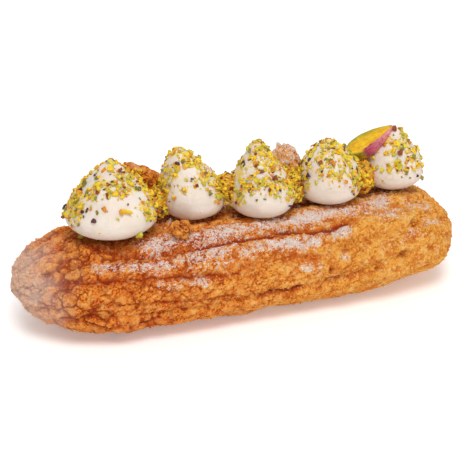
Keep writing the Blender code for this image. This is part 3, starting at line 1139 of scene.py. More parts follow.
    def pit(self, co: Vector) -> float:
        """How far inside a pit a spot is.

        Args:
            co: The spot.

        Returns:
            1 in a pit's middle, 0 outside, and a little less than 0 on its raised rim.
        """
        deepest = 0.0
        for middle, radius in self.pits:
            away = (co - middle).length / radius
            rim = self.rim * self.rim_inside.at(away) * self.rim_outside.at(away)
            deepest += self.pit_bowl.at(away) - rim
        return deepest

    def sugar(self, co: Vector, angle: float, across: float, seen: float) -> float:
        """How much icing sugar lies on a spot: as seen in front, and on the upper ridges behind.

        Args:
            co: The point on the plain log.
            angle: Where it is round the log.
            across: Where it is across its flute.
            seen: How strongly the photograph's sugar lies on it.

        Returns:
            The share of the spot that is white.
        """
        turn = math.degrees(angle)
        behind = self.sugar_back.at(turn) * self.sugar_end.at(turn)
        reach = self.sugar_left.at(co.x) * self.sugar_right.at(co.x)
        clouds = noise.noise(co / self.sugar_patch + Vector((3, 0, 0)))
        patch = 0.5 + 0.5 * self.sugar_patches.at(clouds)
        crest = self.sugar_valley + (1 - self.sugar_valley) * (1 - abs(across) ** 2)
        return max(seen, self.sugar_most * behind * reach * crest) * patch

    def marked(self, strokes: Sequence[SeenStroke], points: np.ndarray) -> np.ndarray:
        """How strongly each point is marked by the photograph's lines, which run raggedly.

        Args:
            strokes: The lines.
            points: The points of the plain log.

        Returns:
            The strength at each point, from 0 to 1.
        """
        moved = [self.ragged(Vector(point)) for point in points]
        marks = [line.strength * line.nearness(self.studio, self.tree, np.array(moved)) for line in strokes]
        return np.max(marks, axis=0)

    def ragged(self, spot: Vector) -> Vector:
        """Moves a spot unevenly, so that a line looks ragged there."""
        moved = spot + self.line_rag * noise_vector(spot / self.rag)
        return moved + self.line_fray * noise_vector(spot / self.fray)

    def stations(self) -> np.ndarray:
        """Places along the log for rings an equal way apart on its side.

        Returns:
            The places, from -1 to 1, without the two ends.
        """
        places = np.linspace(-1, 1, STATION_SAMPLES)
        girths = np.array([self.end_girth(place) for place in places])
        steps = np.hypot(np.diff(places) * self.length / 2, np.diff(girths) * self.width / 2)
        walked = np.concatenate([[0], np.cumsum(steps)])
        return np.interp(np.linspace(0, walked[-1], self.along + 1)[1:-1], walked, places)

    def angles(self) -> np.ndarray:
        """Angles round the log an equal way apart, and wider apart underneath.

        Returns:
            The angles, from just over -180 degrees to 180 degrees.
        """
        angles = np.linspace(-math.pi, math.pi, ANGLE_SAMPLES)
        ring = np.array([self.plain_point(0.0, angle) for angle in angles])
        steps = np.linalg.norm(np.diff(ring, axis=0), axis=1)
        steps *= np.where(np.sin(angles[1:]) < self.underneath, self.under_share, 1.0)
        walked = np.concatenate([[0], np.cumsum(steps)])
        return np.interp(np.linspace(0, walked[-1], self.around + 1)[1:], walked, angles)

    def build(self, kisses: Sequence["CreamKiss"]) -> None:
        """Makes the crust and stores its levels, painted valley shade, cracks with painted shade and
        shadow, sugar and pale wash.

        Args:
            kisses: The cream that stands on the crust and lays a painted shadow on it around each foot.
        """
        stations, angles = self.stations(), self.angles()
        spots = [(place, angle) for place in stations for angle in angles]
        spots += [(-1.0, 0.0), (1.0, 0.0)]
        plain = [self.plain_point(place, angle) for place, angle in spots]
        self.obj = mesh_object("choux_crust", plain, ring_faces(len(stations), len(angles)))
        self.tree = tree_of(self.obj)
        self.find_pits()
        grooves = self.marked(SEEN_GROOVES, np.array(plain))
        dusting = self.marked(SEEN_DUSTING, np.array(plain))
        mesh = self.obj.data
        rows = [
            self.crust_point(vert.co.copy(), place, angle, vert.normal.copy(), kisses, groove, dusted)
            for vert, (place, angle), groove, dusted in zip(mesh.vertices, spots, grooves, dusting)
        ]
        points, levels, valleys, cracks_and_shadow, sugars = zip(*rows)
        fitted = self.fit(np.array(points))
        mesh.vertices.foreach_set("co", fitted.astype(np.float32).ravel())
        mesh.update()
        set_attribute(self.obj, "level", levels)
        set_attribute(self.obj, "valley", valleys)
        set_attribute(self.obj, "crack", cracks_and_shadow)
        set_attribute(self.obj, "sugar", sugars)
        set_attribute(self.obj, "wash", [self.wash(Vector(spot)) for spot in fitted])
        self.tree = tree_of(self.obj)

    def wash(self, spot: Vector) -> float:
        """How pale a spot is: only the left tip is, and unevenly.

        Args:
            spot: The spot.

        Returns:
            The share of pale colour there.
        """
        wanders = [reach * noise.noise(spot / size) for size, reach in (self.wash_broad, self.wash_fine)]
        return self.wash_most * self.washed.at(spot.x + sum(wanders))

    def unseen(self, turn: float) -> float:
        """How strongly the grooves by formula show: mostly out of the photograph's sight."""
        return self.formula_least + (1 - self.formula_least) * max(self.over.at(turn), self.under.at(turn))

    def cracking(self, co: Vector, place: float) -> float:
        """How cracked the crust is at a point: most at the left, and in patches elsewhere."""
        patch = self.cobbled_patches.at(noise.noise(co / self.cobbled_patch))
        return min(1.0, self.cobbled_least + self.cobbled.at(-place) + self.cobbled_most * patch)

    def crust_point(
        self,
        co: Vector,
        place: float,
        angle: float,
        out: Vector,
        kisses: Sequence["CreamKiss"],
        seen_groove: float,
        seen_sugar: float,
    ) -> tuple[Vector, float, float, float, float]:
        """Raises one point by all of its relief.

        Args:
            co: The point on the plain log.
            place: Where it is along the log.
            angle: Where it is round the log.
            out: The direction that points out of the log there.
            kisses: The cream that stands on the crust.
            seen_groove: How near the middle of one of the photograph's grooves it is.
            seen_sugar: How strongly the photograph's sugar lies on it.

        Returns:
            The raised point, its level, its painted valley shade, how dark its cracks, the painted shade of
            its grooves and pits and the kisses' painted shadow make it, and its sugar.
        """
        across = self.across_flute(co.x, place, angle)
        strength = self.flute_strength(place, angle)
        coarse = self.coarse_relief(co, place, across, strength)
        unseen = self.unseen(math.degrees(angle))
        # Valleys and grooves get painted shade as well as depth.
        formula_valley = self.valley_shade * unseen * strength * self.flank.at(abs(across))
        valley = max(self.seen_flank.at(seen_groove), formula_valley)
        core = max(self.seen_core.at(seen_groove), unseen * self.groove(co, across, strength))
        stirred = self.relief.stirred(co)
        cracked = self.relief.cracked(stirred) * self.cracking(co, place)
        pit = self.pit(co)
        fine = self.relief.height(stirred)
        rough = 1 - self.right_smooth * self.smooth.at(place)
        low = self.groove_depth * ((1 - self.core_share) * valley + self.core_share * core)
        low += self.relief.crack_depth * cracked + self.pit_depth * pit
        raised = co + out * (coarse + rough * fine * (1 - self.core_calm * core) - low)
        # One attribute darkens the crust in its cracks, and also carries the painted shade along the
        # grooves' middles and in the pits, and the kisses' painted contact shadows.
        shade = max(kiss.contact_shade(raised) for kiss in kisses)
        crack = min(1.0, max(core, self.crack_shade * cracked, self.pit_shade * pit, shade))
        sugar = self.sugar(co, angle, across, seen_sugar) * (1 - crack)
        return raised, self.relief.level(rough * fine), valley, crack, sugar

    def fit(self, points: np.ndarray) -> np.ndarray:
        """Fits the crust to its solid's box and levels its foot.

        Args:
            points: The crust's points.

        Returns:
            The fitted points.
        """
        low, high = (np.array(corner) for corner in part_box(self.node))
        low, high = low + self.edge, high - self.edge
        least, most = points.min(axis=0), points.max(axis=0)
        share = (points - least) / (most - least)
        fitted = low + share * (high - low)
        fitted[:, 2] = np.maximum(0.0, points[:, 2]) * high[2] / most[2]
        return fitted

    def dress(self, material: bpy.types.Material) -> None:
        """Gives the crust its finish."""
        enter(self.obj, material, [self.node])


@dataclass
class CreamKiss:
    """One piped cream kiss: a cone with a rounded foot, a lean and a shallow spiral crease."""

    number: int
    x: float
    y: float
    radius: float
    height: float
    lean: float
    belly: float
    tip: float
    front_line: float
    side_line: float = 0.12

    # Its form.
    crust: float = 28.5 * MM
    widest: float = 0.24
    tuck: float = 0.26
    tuck_power: int = 3
    foot: float = -0.12
    lean_power: float = 1.6
    swirl_depth: float = 0.3 * MM
    swirl_turns: float = 1.3
    wave_size: float = 7 * MM
    wave_height: float = 0.22 * MM
    thin: float = 1 * MM
    clean_side: float = math.radians(-104)

    # Where the nuts lie on it.
    clean_front: Ramp = Ramp(-0.5, 0.8)
    patchy: float = 4 * MM
    ragged: float = 0.14
    clusters: Ramp = Ramp(-0.3, 0.2)
    sparse: float = 0.2
    nuts_below: float = 0.04
    nuts_above: float = 0.2

    # The painted shadow that it lays on the crust around its foot: how dark, and how far out and in it
    # reaches.
    contact_dark: float = 0.42
    contact_out: float = 0.3 * MM
    contact_in: float = 1.2 * MM

    # Its mesh.
    around: int = 96
    rings: int = 64
    obj: bpy.types.Object | None = None
    tree: BVHTree | None = None

    @property
    def node(self) -> str:
        """The solid that it stands for."""
        return f"cream_kiss_{self.number}"

    def girth(self, up: float) -> float:
        """Its radius as a share of its widest.

        Args:
            up: How far up, 0 at the crust and 1 at the tip.

        Returns:
            The share.
        """
        if up < self.widest:
            return max(0.0, 1 - self.tuck * ((self.widest - up) / self.widest) ** self.tuck_power)
        climb = min(1.0, (up - self.widest) / (1 - self.widest))
        return (1 - self.tip) * (1 - climb**self.belly) + self.tip * math.sqrt(1 - climb * climb)

    def shift(self, up: float, angle: float, radius: float) -> Vector:
        """How far its lean and its spiral crease move a point.

        Args:
            up: How far up the point is.
            angle: Where it is round the kiss.
            radius: The kiss's radius there.

        Returns:
            The move.
        """
        climb = max(0.0, min(1.0, up))
        crease = math.cos(angle - 2 * math.pi * self.swirl_turns * climb) ** 2
        inward = self.swirl_depth * crease * math.sin(math.pi * climb) * min(1.0, 2 * radius / self.radius)
        lean = self.lean * climb**self.lean_power
        return Vector((lean - inward * math.cos(angle), -inward * math.sin(angle), 0))

    def point(self, up: float, angle: float) -> Vector:
        """A point on its skin.

        Args:
            up: How far up it is.
            angle: Where it is round the kiss.

        Returns:
            The point.
        """
        radius = self.radius * self.girth(up)
        middle = Vector((self.x, self.y, self.crust + self.height * up))
        out = Vector((radius * math.cos(angle), radius * math.sin(angle), 0))
        spot = middle + out + self.shift(up, angle, radius)
        wave = self.wave_height * noise.noise(spot / self.wave_size)
        return spot + wave * out / max(radius, self.thin)

    def out(self, up: float, angle: float) -> Vector:
        """The direction that points out of its skin.

        Args:
            up: How far up the spot is.
            angle: Where it is round the kiss.

        Returns:
            The direction, which is up at the very tip.
        """
        step = 0.01
        climb = self.point(min(1.0, up + step), angle) - self.point(up - step, angle)
        turn = self.point(up, angle + step) - self.point(up, angle - step)
        out = turn.cross(climb)
        return out.normalized() if out.length > 0 else UP.copy()

    def contact_shade(self, spot: Vector) -> float:
        """How dark the painted shadow is that the kiss lays on the crust around its foot.

        Args:
            spot: A spot of the crust.

        Returns:
            0 to 1.
        """
        if spot.z < self.crust / 2:
            return 0.0
        away = math.hypot(spot.x - self.x, spot.y - self.y)
        return self.contact_dark * fade(away, self.radius + self.contact_out, self.radius - self.contact_in)

    def nut_cover(self, up: float, angle: float) -> float:
        """How densely nuts cover its skin: not on the clean lower front, nor on the lower back.

        Args:
            up: How far up the spot is.
            angle: Where it is round the kiss.

        Returns:
            0 to 1.
        """
        spot = self.point(up, angle)
        facing = math.cos(2 * (angle - self.clean_side))
        line = self.side_line + (self.front_line - self.side_line) * self.clean_front.at(facing)
        uneven = self.ragged * noise.noise(spot / self.patchy)
        cluster = self.clusters.at(noise.noise(spot / self.patchy + Vector((0, 0, SEED))))
        dense = self.sparse + (1 - self.sparse) * cluster
        return dense * fade(up + uneven, line - self.nuts_below, line + self.nuts_above)

    def build(self) -> None:
        """Makes the cream and stores where nut dust lies on it."""
        span = 1 - self.foot
        ups = [self.foot + span * math.sin(math.pi / 2 * (i + 0.5) / self.rings) for i in range(self.rings)]
        turns = [2 * math.pi * i / self.around for i in range(self.around)]
        spots = [(up, turn) for up in ups for turn in turns] + [(self.foot, 0.0), (1.0, 0.0)]
        points = [self.point(up, turn) for up, turn in spots]
        points[-2] = Vector((self.x, self.y, self.crust + self.height * self.foot))
        self.obj = mesh_object(f"whipped_cream_{self.number}", points, ring_faces(self.rings, self.around))
        set_attribute(self.obj, "dust", [self.nut_cover(up, turn) for up, turn in spots])
        self.tree = tree_of(self.obj)

    def dress(self, material: bpy.types.Material) -> None:
        """Gives the cream its finish."""
        enter(self.obj, material, [self.node])


@dataclass(frozen=True)
class Chip:
    """One chopped bit or crumb: where it lies, which way is out, its size and its marks.

    Attributes:
        spot: The place that it lies on.
        out: The direction that points out of the surface there.
        size: How long it is.
        marks: A number for each attribute that its finish reads.
    """

    spot: Vector
    out: Vector
    size: float
    marks: dict[str, float] = field(default_factory=dict)


@dataclass
class ChipCutter:
    """Cuts chopped bits from a few angular shapes, each turned and stretched differently."""

    shapes: int = 14
    corners: int = 9
    flatness: tuple[float, float] = (0.5, 0.95)
    sunk: float = 0.3
    softened: bool = True
    soft_from: float = 1.0 * MM
    seed: int = SEED
    reach: tuple[float, float] = (0.8, 1.1)
    wear: float = 0.15
    slimness: tuple[float, float] = (0.55, 1.0)
    tilt: float = 0.35
    crease: float = math.radians(38)
    edge: float = 0.02 * MM
    blanks: dict[bool, list[tuple[np.ndarray, np.ndarray]]] = field(default_factory=dict)

    def blank(self, rng: random.Random, softened: bool) -> tuple[np.ndarray, np.ndarray]:
        """Cuts one angular shape.

        Args:
            rng: The source of random draws.
            softened: Whether its edges are worn.

        Returns:
            Its corners, about 1 from its middle, and its three-sided faces.
        """
        bm = bmesh.new()
        for _ in range(self.corners):
            bm.verts.new(random_direction(rng) * rng.uniform(*self.reach))
        hull = bmesh.ops.convex_hull(bm, input=bm.verts)
        inside = [v for v in hull["geom_interior"] if isinstance(v, bmesh.types.BMVert)]
        bmesh.ops.delete(bm, geom=inside, context="VERTS")
        if softened:
            bmesh.ops.subdivide_edges(bm, edges=bm.edges, cuts=1, use_grid_fill=True)
            axes = {"use_axis_x": True, "use_axis_y": True, "use_axis_z": True}
            bmesh.ops.smooth_vert(bm, verts=bm.verts, factor=self.wear, **axes)
        bmesh.ops.triangulate(bm, faces=bm.faces)
        bm.verts.index_update()
        points = np.array([v.co for v in bm.verts])
        faces = np.array([[v.index for v in face.verts] for face in bm.faces])
        bm.free()
        return points, faces

    def cut(self, name: str, chips: Sequence[Chip]) -> bpy.types.Object:
        """Makes one piece of many bits.

        Args:
            name: The piece's name.
            chips: Where the bits lie.

        Returns:
            The piece.
        """
        rng = random.Random(f"{self.seed} {name}")
        if not self.blanks:
            shapes = random.Random(self.seed)
            for softened in (False, True):
                self.blanks[softened] = [self.blank(shapes, softened) for _ in range(self.shapes)]
        points, faces, owners, count = [], [], [], 0
        for number, chip in enumerate(chips):
            softened = self.softened and chip.size > self.soft_from
            corners, sides = self.blanks[softened][rng.randrange(self.shapes)]
            half = Vector((1.0, rng.uniform(*self.slimness), rng.uniform(*self.flatness))) * chip.size / 2
            turn = chip.out.to_track_quat("Z", "Y").to_matrix()
            turn = turn @ Matrix.Rotation(rng.uniform(0, 2 * math.pi), 3, "Z")
            turn = turn @ Matrix.Rotation(rng.gauss(0, self.tilt), 3, "X")
            middle = chip.spot + chip.out * half.z * (1 - 2 * self.sunk)
            points.append((corners * np.array(half)) @ np.array(turn).T + np.array(middle))
            faces.append(sides + count)
            owners += [number] * len(corners)
            count += len(corners)
        corners, sides = np.concatenate(points), np.concatenate(faces)
        corners = np.clip(corners, np.array(cad_box[0]) + self.edge, np.array(cad_box[1]) - self.edge)
        obj = mesh_object(name, corners.tolist(), sides.tolist(), sharp=self.crease)
        for mark in chips[0].marks:
            set_attribute(obj, mark, [chips[owner].marks[mark] for owner in owners])
        return obj


@dataclass
class CrumbleLump:
    """One craggy lump of baked crumble, fused of crumbs."""

    number: int
    place: Vector
    half: Vector
    tilt: float
    crag: float
    sugar: float
    crag_depth: float = 0.24
    crag_size: float = 0.55
    subdivisions: int = 5
    dusted: Ramp = Ramp(-0.3, 0.6)
    relief: CrumbRelief = CrumbRelief(clump=3.2 * MM, crumb=1.5 * MM, stretch=1.0, clump_height=0.6 * MM)
    obj: bpy.types.Object | None = None
    tree: BVHTree | None = None

    @property
    def node(self) -> str:
        """The solid that it stands for."""
        return f"crumble_chunk_{self.number}"

    def coarse_point(self, unit: Vector) -> Vector:
        """A point of the solid's form.

        Args:
            unit: The point's direction from the lump's middle.

        Returns:
            The point.
        """
        seed = SEED * (self.number - 1)
        coarse = noise.noise(unit / self.crag_size + Vector((seed, 0, 0)))
        fine = noise.noise(unit / (self.crag_size / 2) + Vector((0, seed, 0)))
        spot = self.half * (unit * (1 + self.crag_depth * self.crag * (coarse + fine / 2)))
        return Matrix.Translation(self.place) @ Matrix.Rotation(self.tilt, 4, "Y") @ spot

    def build(self) -> None:
        """Makes the lump and stores its levels and its sugar."""
        levels, sugars = [], []

        def place(unit: Vector) -> Vector:
            """Raises one point by the crumbs' relief and notes its level and its sugar.

            Args:
                unit: The point's direction from the lump's middle.

            Returns:
                The raised point.
            """
            spot = self.coarse_point(unit)
            out = (spot - self.place).normalized()
            height = self.relief.height(self.relief.stirred(spot))
            levels.append(self.relief.level(height))
            sugars.append(self.sugar * self.dusted.at(out.z))
            return spot + out * height

        self.obj = ball_object(f"baked_crumble_{self.number}", self.subdivisions, place)
        set_attribute(self.obj, "level", levels)
        set_attribute(self.obj, "sugar", sugars)
        self.tree = tree_of(self.obj)

    def dress(self, material: bpy.types.Material) -> None:
        """Gives the lump its finish."""
        enter(self.obj, material, [self.node])


# The least and the largest length of heaped bits, in millimetres
HEAPED_BITS = (0.8, 2.0)


@dataclass
class NutHeap:
    """A heap of chopped nuts in a valley between two kisses: a core that its bits lie on."""

    number: int
    place: Vector
    half: Vector
    bits: int = 190
    lowest: float = -0.6
    core_share: float = 0.9
    grain: float = 1.3 * MM
    bump: float = 0.5 * MM
    bump_top: float = 0.4
    subdivisions: int = 4
    obj: bpy.types.Object | None = None
    tree: BVHTree | None = None

    @property
    def node(self) -> str:
        """The solid that it stands for."""
        return f"chopped_nuts_{self.number}"

    def core_point(self, unit: Vector) -> Vector:
        """A point of the bumpy core.

        Args:
            unit: The point's direction from the core's middle.

        Returns:
            The point.
        """
        spot = self.place + self.half * unit * self.core_share
        near = noise.voronoi(spot / self.grain)[0][0]
        return spot + (spot - self.place).normalized() * self.bump * (self.bump_top - near)

    def build(self) -> None:
        """Makes the bumpy core under the bits."""
        self.obj = ball_object(f"nut_heap_{self.number}", self.subdivisions, self.core_point)
        self.tree = tree_of(self.obj)

    def chips(self, rng: random.Random) -> list[Chip]:
        """Spreads its bits over its upper side.

        Args:
            rng: The source of random draws.

        Returns:
            The bits.
        """
        found = []
        while len(found) < self.bits:
            unit = random_direction(rng)
            if unit.z < self.lowest:
                continue
            spot = self.place + self.half * unit * self.core_share
            out = Vector((unit.x / self.half.x, unit.y / self.half.y, unit.z / self.half.z)).normalized()
            found.append(Chip(spot, out, rng.uniform(*HEAPED_BITS) * MM))
        return found

    def dress(self, material: bpy.types.Material) -> None:
        """Gives the core its finish."""
        enter(self.obj, material, [self.node])


@dataclass(frozen=True)
class KernelFinish:
    """A cut pistachio: yellow-green flesh with a green rim, and a streaked purple-pink skin."""

    flesh: Paint = paint(244, 196, 20)
    ripe_flesh: Paint = paint(222, 160, 12)
    far_flesh: Paint = paint(150, 154, 24)
    rim: Paint = paint(100, 110, 30)
    skin: Paint = paint(204, 80, 108)
    streak: Paint = paint(126, 34, 60)
    tip_skin: Paint = paint(240, 168, 166)
    tip_streak: Paint = paint(214, 104, 122)
    tip_from: float = 41 * MM
    tip_to: float = 50 * MM
    mottle: float = 2.2 * MM
    streak_size: float = 1.2 * MM
    grain: float = 0.8 * MM

    def material(self) -> bpy.types.Material:
        """Makes the material.

        Returns:
            The material, which reads the attributes skin, rim and far.
        """
        sketch = Sketch("pistachio kernel", roughness=0.5, specular=0.2)
        flesh = sketch.mix(self.flesh, self.ripe_flesh, sketch.noise(self.mottle, detail=3.0))
        far = sketch.maths("MULTIPLY", sketch.attribute("far"), 0.7)
        rim = sketch.maths("MULTIPLY", sketch.attribute("rim"), 0.75)
        flesh = sketch.mix(sketch.mix(flesh, self.far_flesh, far), self.rim, rim)
        streaks = sketch.noise(self.streak_size, detail=4.0, rough=0.65)
        along = sketch.fade(sketch.axis("X"), self.tip_from, self.tip_to)
        skin = sketch.mix(self.skin, self.streak, streaks)
        skin = sketch.mix(skin, sketch.mix(self.tip_skin, self.tip_streak, streaks), along)
        colour = sketch.mix(flesh, skin, sketch.attribute("skin"))
        return sketch.done(colour, sketch.bump(sketch.noise(self.grain, detail=3.0), distance=0.15 * MM))


@dataclass
class PistachioKernel:
    """Half a pistachio kernel: a yellow-green cut face, a green rim and a purple skin on its dome."""

    node: str = "pistachio_kernel"
    length: float = 16.5 * MM
    width: float = 9.8 * MM
    depth: float = 5.6 * MM
    crown: float = 0.3 * MM
    dents: float = 0.9
    narrowing: float = 0.6
    place: Vector = field(default_factory=lambda: Vector((43.8, 4.2, 43.2)) * MM)
    axis: Vector = field(default_factory=lambda: Vector((0.877, -0.096, 0.471)))
    face: Vector = field(default_factory=lambda: Vector((-0.48, -0.132, 0.868)))
    around: int = 128
    rings: int = 96
    wrinkle: float = 0.2 * MM
    ragged: float = 0.12
    strip: Ramp = Ramp(0.6, 0.72)
    strip_from: Ramp = Ramp(-0.6, -0.3)
    whole_from: Ramp = Ramp(-0.8, -0.5)
    dome: Ramp = Ramp(0.0, -0.06)
    rim: Ramp = Ramp(0.86, 0.99)
    far: Ramp = Ramp(0.2, 0.85)
    obj: bpy.types.Object | None = None
    tree: BVHTree | None = None

    def frame(self) -> Matrix:
        """Its place and its turn.

        Returns:
            The matrix that lays its point along its axis and its cut face along the face direction.
        """
        along = self.axis.normalized()
        across = self.face.cross(along).normalized()
        out = along.cross(across).normalized()
        return Matrix.Translation(self.place) @ Matrix((along, across, out)).transposed().to_4x4()

    def point(self, x: float, y: float, z: float) -> Vector:
        """A point of the kernel for a point on a ball of radius 1.

        Args:
            x: The ball's point along the kernel.
            y: The ball's point across it.
            z: The ball's point out of its cut face.

        Returns:
            The point, before the kernel is laid in its place.
        """
        narrow = 1 - self.narrowing * ((x + 1) / 2) ** 2
        spot = Vector((x * self.length / 2, y * narrow * self.width / 2, 0))
        if z > 0:
            dents = self.dents * noise.noise(Vector((x * 4, y * 3, SEED)))
            spot.z = self.crown * math.sqrt(z) * (1 + dents)
        else:
            ridges = self.wrinkle * noise.noise(Vector((x * 2.5, y * 11, z * 11)))
            spot.z = self.depth * narrow * z + ridges * z
        return spot

    def build(self) -> None:
        """Makes the kernel and stores where its skin, its rim and its far side are."""
        spots = []
        for row in range(1, self.rings):
            tilt = math.pi * row / self.rings
            for column in range(self.around):
                turn = 2 * math.pi * column / self.around
                across, out = math.sin(tilt) * math.cos(turn), math.sin(tilt) * math.sin(turn)
                spots.append((math.cos(tilt), across, out))
        spots += [(1.0, 0.0, 0.0), (-1.0, 0.0, 0.0)]
        place = self.frame()
        points = [place @ self.point(*spot) for spot in spots]
        self.obj = mesh_object("kernel_half", points, ring_faces(self.rings - 1, self.around))
        set_attribute(self.obj, "skin", [self.skin(*spot) for spot in spots])
        set_attribute(self.obj, "rim", [self.rim.at(math.hypot(x, y)) for x, y, z in spots])
        set_attribute(self.obj, "far", [self.far.at(y) for x, y, z in spots])
        self.tree = tree_of(self.obj)

    def skin(self, x: float, y: float, z: float) -> float:
        """How much skin covers a spot: the dome, but for its blunt end, and a strip of the near edge.

        Args:
            x: Where it is along the kernel, on a ball of radius 1.
            y: Where it is across the kernel.
            z: Where it is out of the cut face.

        Returns:
            The share of skin.
        """
        ragged = self.ragged * noise.noise(Vector((x * 6, y * 3, 0)))
        strip = self.strip.at(-y / math.sqrt(max(0.01, 1 - x * x)) + ragged)
        whole = self.whole_from.at(x + 2 * ragged + 0.5 * y)
        return max(self.dome.at(z) * whole, strip * self.strip_from.at(x))

    def dress(self, material: bpy.types.Material) -> None:
        """Gives the kernel its finish."""
        enter(self.obj, material, [self.node])


@dataclass(frozen=True)
class SeenBit:
    """A bit that stands out in the photograph: its pixel there, its size in mm and its tone."""

    x: float
    y: float
    size: float
    kind: NutKind


@dataclass(frozen=True)
class SeenPatch:
    """A patch of the photograph that is full of nuts.

    Attributes:
        left: Its first pixel from the left.
        top: Its first pixel from the top.
        right: Its last pixel from the left.
        bottom: Its last pixel from the top.
        bits: How many bits fill it.
        heap: Whether it belongs to a heap in a valley.
    """

    left: float
    top: float
    right: float
    bottom: float
    bits: int
    heap: bool = False


@dataclass(frozen=True)
class SeenCrumb:
    """A crumb that stands out on the crust: its pixel, its size in mm and its sugar."""

    x: float
    y: float
    size: float
    sugar: float


FIRST_KISS_BITS = (
    SeenBit(111, 162, 2.4, NutKind.LIME),
    SeenBit(110, 169, 3.0, NutKind.YELLOW),
    SeenBit(104, 170, 1.8, NutKind.AMBER),
    SeenBit(121, 169, 0.8, NutKind.SKIN),
    SeenBit(95, 176, 1.2, NutKind.SKIN),
    SeenBit(86, 184, 2.4, NutKind.OLIVE),
    SeenBit(81, 193, 2.4, NutKind.AMBER),
    SeenBit(86, 196, 1.5, NutKind.SKIN),
    SeenBit(107, 196, 1.8, NutKind.RUSSET),
    SeenBit(104, 189, 1.1, NutKind.RUSSET),
    SeenBit(95, 199, 1.7, NutKind.OLIVE),
    SeenBit(73, 204, 2.6, NutKind.LIME),
    SeenBit(78, 201, 1.8, NutKind.OLIVE),
    SeenBit(67, 208, 2.0, NutKind.SKIN),
    SeenBit(82, 212, 1.4, NutKind.SKIN),
    SeenBit(84, 217, 1.1, NutKind.SKIN),
    SeenBit(95, 221, 1.9, NutKind.SKIN),
    SeenBit(79, 225, 1.2, NutKind.OLIVE),
    SeenBit(127, 213, 3.0, NutKind.YELLOW),
    SeenBit(121, 214, 1.5, NutKind.AMBER),
    SeenBit(118, 219, 1.2, NutKind.LIME),
    SeenBit(128, 205, 0.9, NutKind.RUSSET),
    SeenBit(140, 199, 0.9, NutKind.OLIVE),
    SeenBit(128, 189, 0.9, NutKind.SKIN),
    SeenBit(120, 196, 0.9, NutKind.OLIVE),
    SeenBit(104, 210, 1.7, NutKind.AMBER),
    SeenBit(97, 213, 1.3, NutKind.OLIVE),
    SeenBit(149, 194, 2.0, NutKind.YELLOW),
    SeenBit(154, 206, 2.2, NutKind.YELLOW),
    SeenBit(149, 211, 1.8, NutKind.LIME),
    SeenBit(151, 217, 1.8, NutKind.YELLOW),
    SeenBit(84, 237, 3.0, NutKind.LIME),
    SeenBit(138, 234, 2.6, NutKind.LIME),
    SeenBit(142, 233, 1.8, NutKind.AMBER),
    SeenBit(149, 230, 2.4, NutKind.AMBER),
)
SECOND_KISS_BITS = (
    SeenBit(178, 147, 2.4, NutKind.YELLOW),
    SeenBit(172, 147, 0.8, NutKind.SKIN),
    SeenBit(169, 154, 2.0, NutKind.OLIVE),
    SeenBit(163, 165, 1.8, NutKind.OLIVE),
    SeenBit(177, 164, 1.7, NutKind.SKIN),
    SeenBit(183, 162, 1.5, NutKind.OLIVE),
    SeenBit(185, 167, 2.2, NutKind.AMBER),
    SeenBit(178, 171, 2.2, NutKind.LIME),
    SeenBit(186, 155, 2.2, NutKind.YELLOW),
    SeenBit(190, 156, 1.8, NutKind.AMBER),
    SeenBit(197, 162, 2.2, NutKind.YELLOW),
    SeenBit(204, 173, 1.9, NutKind.OLIVE),
    SeenBit(192, 179, 1.2, NutKind.SKIN),
    SeenBit(196, 185, 1.6, NutKind.RUSSET),
    SeenBit(183, 189, 1.2, NutKind.OLIVE),
    SeenBit(170, 185, 1.6, NutKind.OLIVE),
    SeenBit(208, 183, 1.3, NutKind.OLIVE),
    SeenBit(210, 193, 1.7, NutKind.OLIVE),
    SeenBit(207, 190, 1.3, NutKind.AMBER),
    SeenBit(175, 199, 1.6, NutKind.AMBER),
    SeenBit(217, 189, 2.2, NutKind.YELLOW),
    SeenBit(218, 196, 2.0, NutKind.LIME),
)
THIRD_KISS_BITS = (
    SeenBit(246, 143, 1.8, NutKind.OLIVE),
    SeenBit(255, 142, 2.2, NutKind.YELLOW),
    SeenBit(261, 148, 2.0, NutKind.LIME),
    SeenBit(266, 150, 1.8, NutKind.OLIVE),
    SeenBit(250, 151, 1.5, NutKind.OLIVE),
    SeenBit(256, 154, 1.2, NutKind.RUSSET),
    SeenBit(256, 163, 2.5, NutKind.AMBER),
    SeenBit(244, 164, 1.8, NutKind.SKIN),
    SeenBit(234, 165, 1.2, NutKind.SKIN),
    SeenBit(231, 171, 2.2, NutKind.YELLOW),
    SeenBit(261, 172, 2.1, NutKind.RUSSET),
    SeenBit(274, 179, 2.8, NutKind.RUSSET),
    SeenBit(273, 172, 1.4, NutKind.RUSSET),
    SeenBit(253, 175, 1.1, NutKind.SKIN),
    SeenBit(251, 184, 1.1, NutKind.SKIN),
    SeenBit(247, 187, 1.7, NutKind.AMBER),
    SeenBit(250, 190, 1.4, NutKind.RUSSET),
    SeenBit(257, 181, 2.0, NutKind.YELLOW),
    SeenBit(264, 182, 1.8, NutKind.LIME),
    SeenBit(266, 187, 1.0, NutKind.SKIN),
    SeenBit(280, 190, 1.1, NutKind.SKIN),
    SeenBit(275, 196, 2.0, NutKind.LIME),
    SeenBit(241, 198, 1.9, NutKind.LIME),
    SeenBit(257, 200, 1.0, NutKind.OLIVE),
    SeenBit(265, 199, 1.0, NutKind.OLIVE),
    SeenBit(289, 194, 2.4, NutKind.LIME),
    SeenBit(287, 200, 1.8, NutKind.YELLOW),
    SeenBit(289, 206, 1.6, NutKind.SKIN),
)
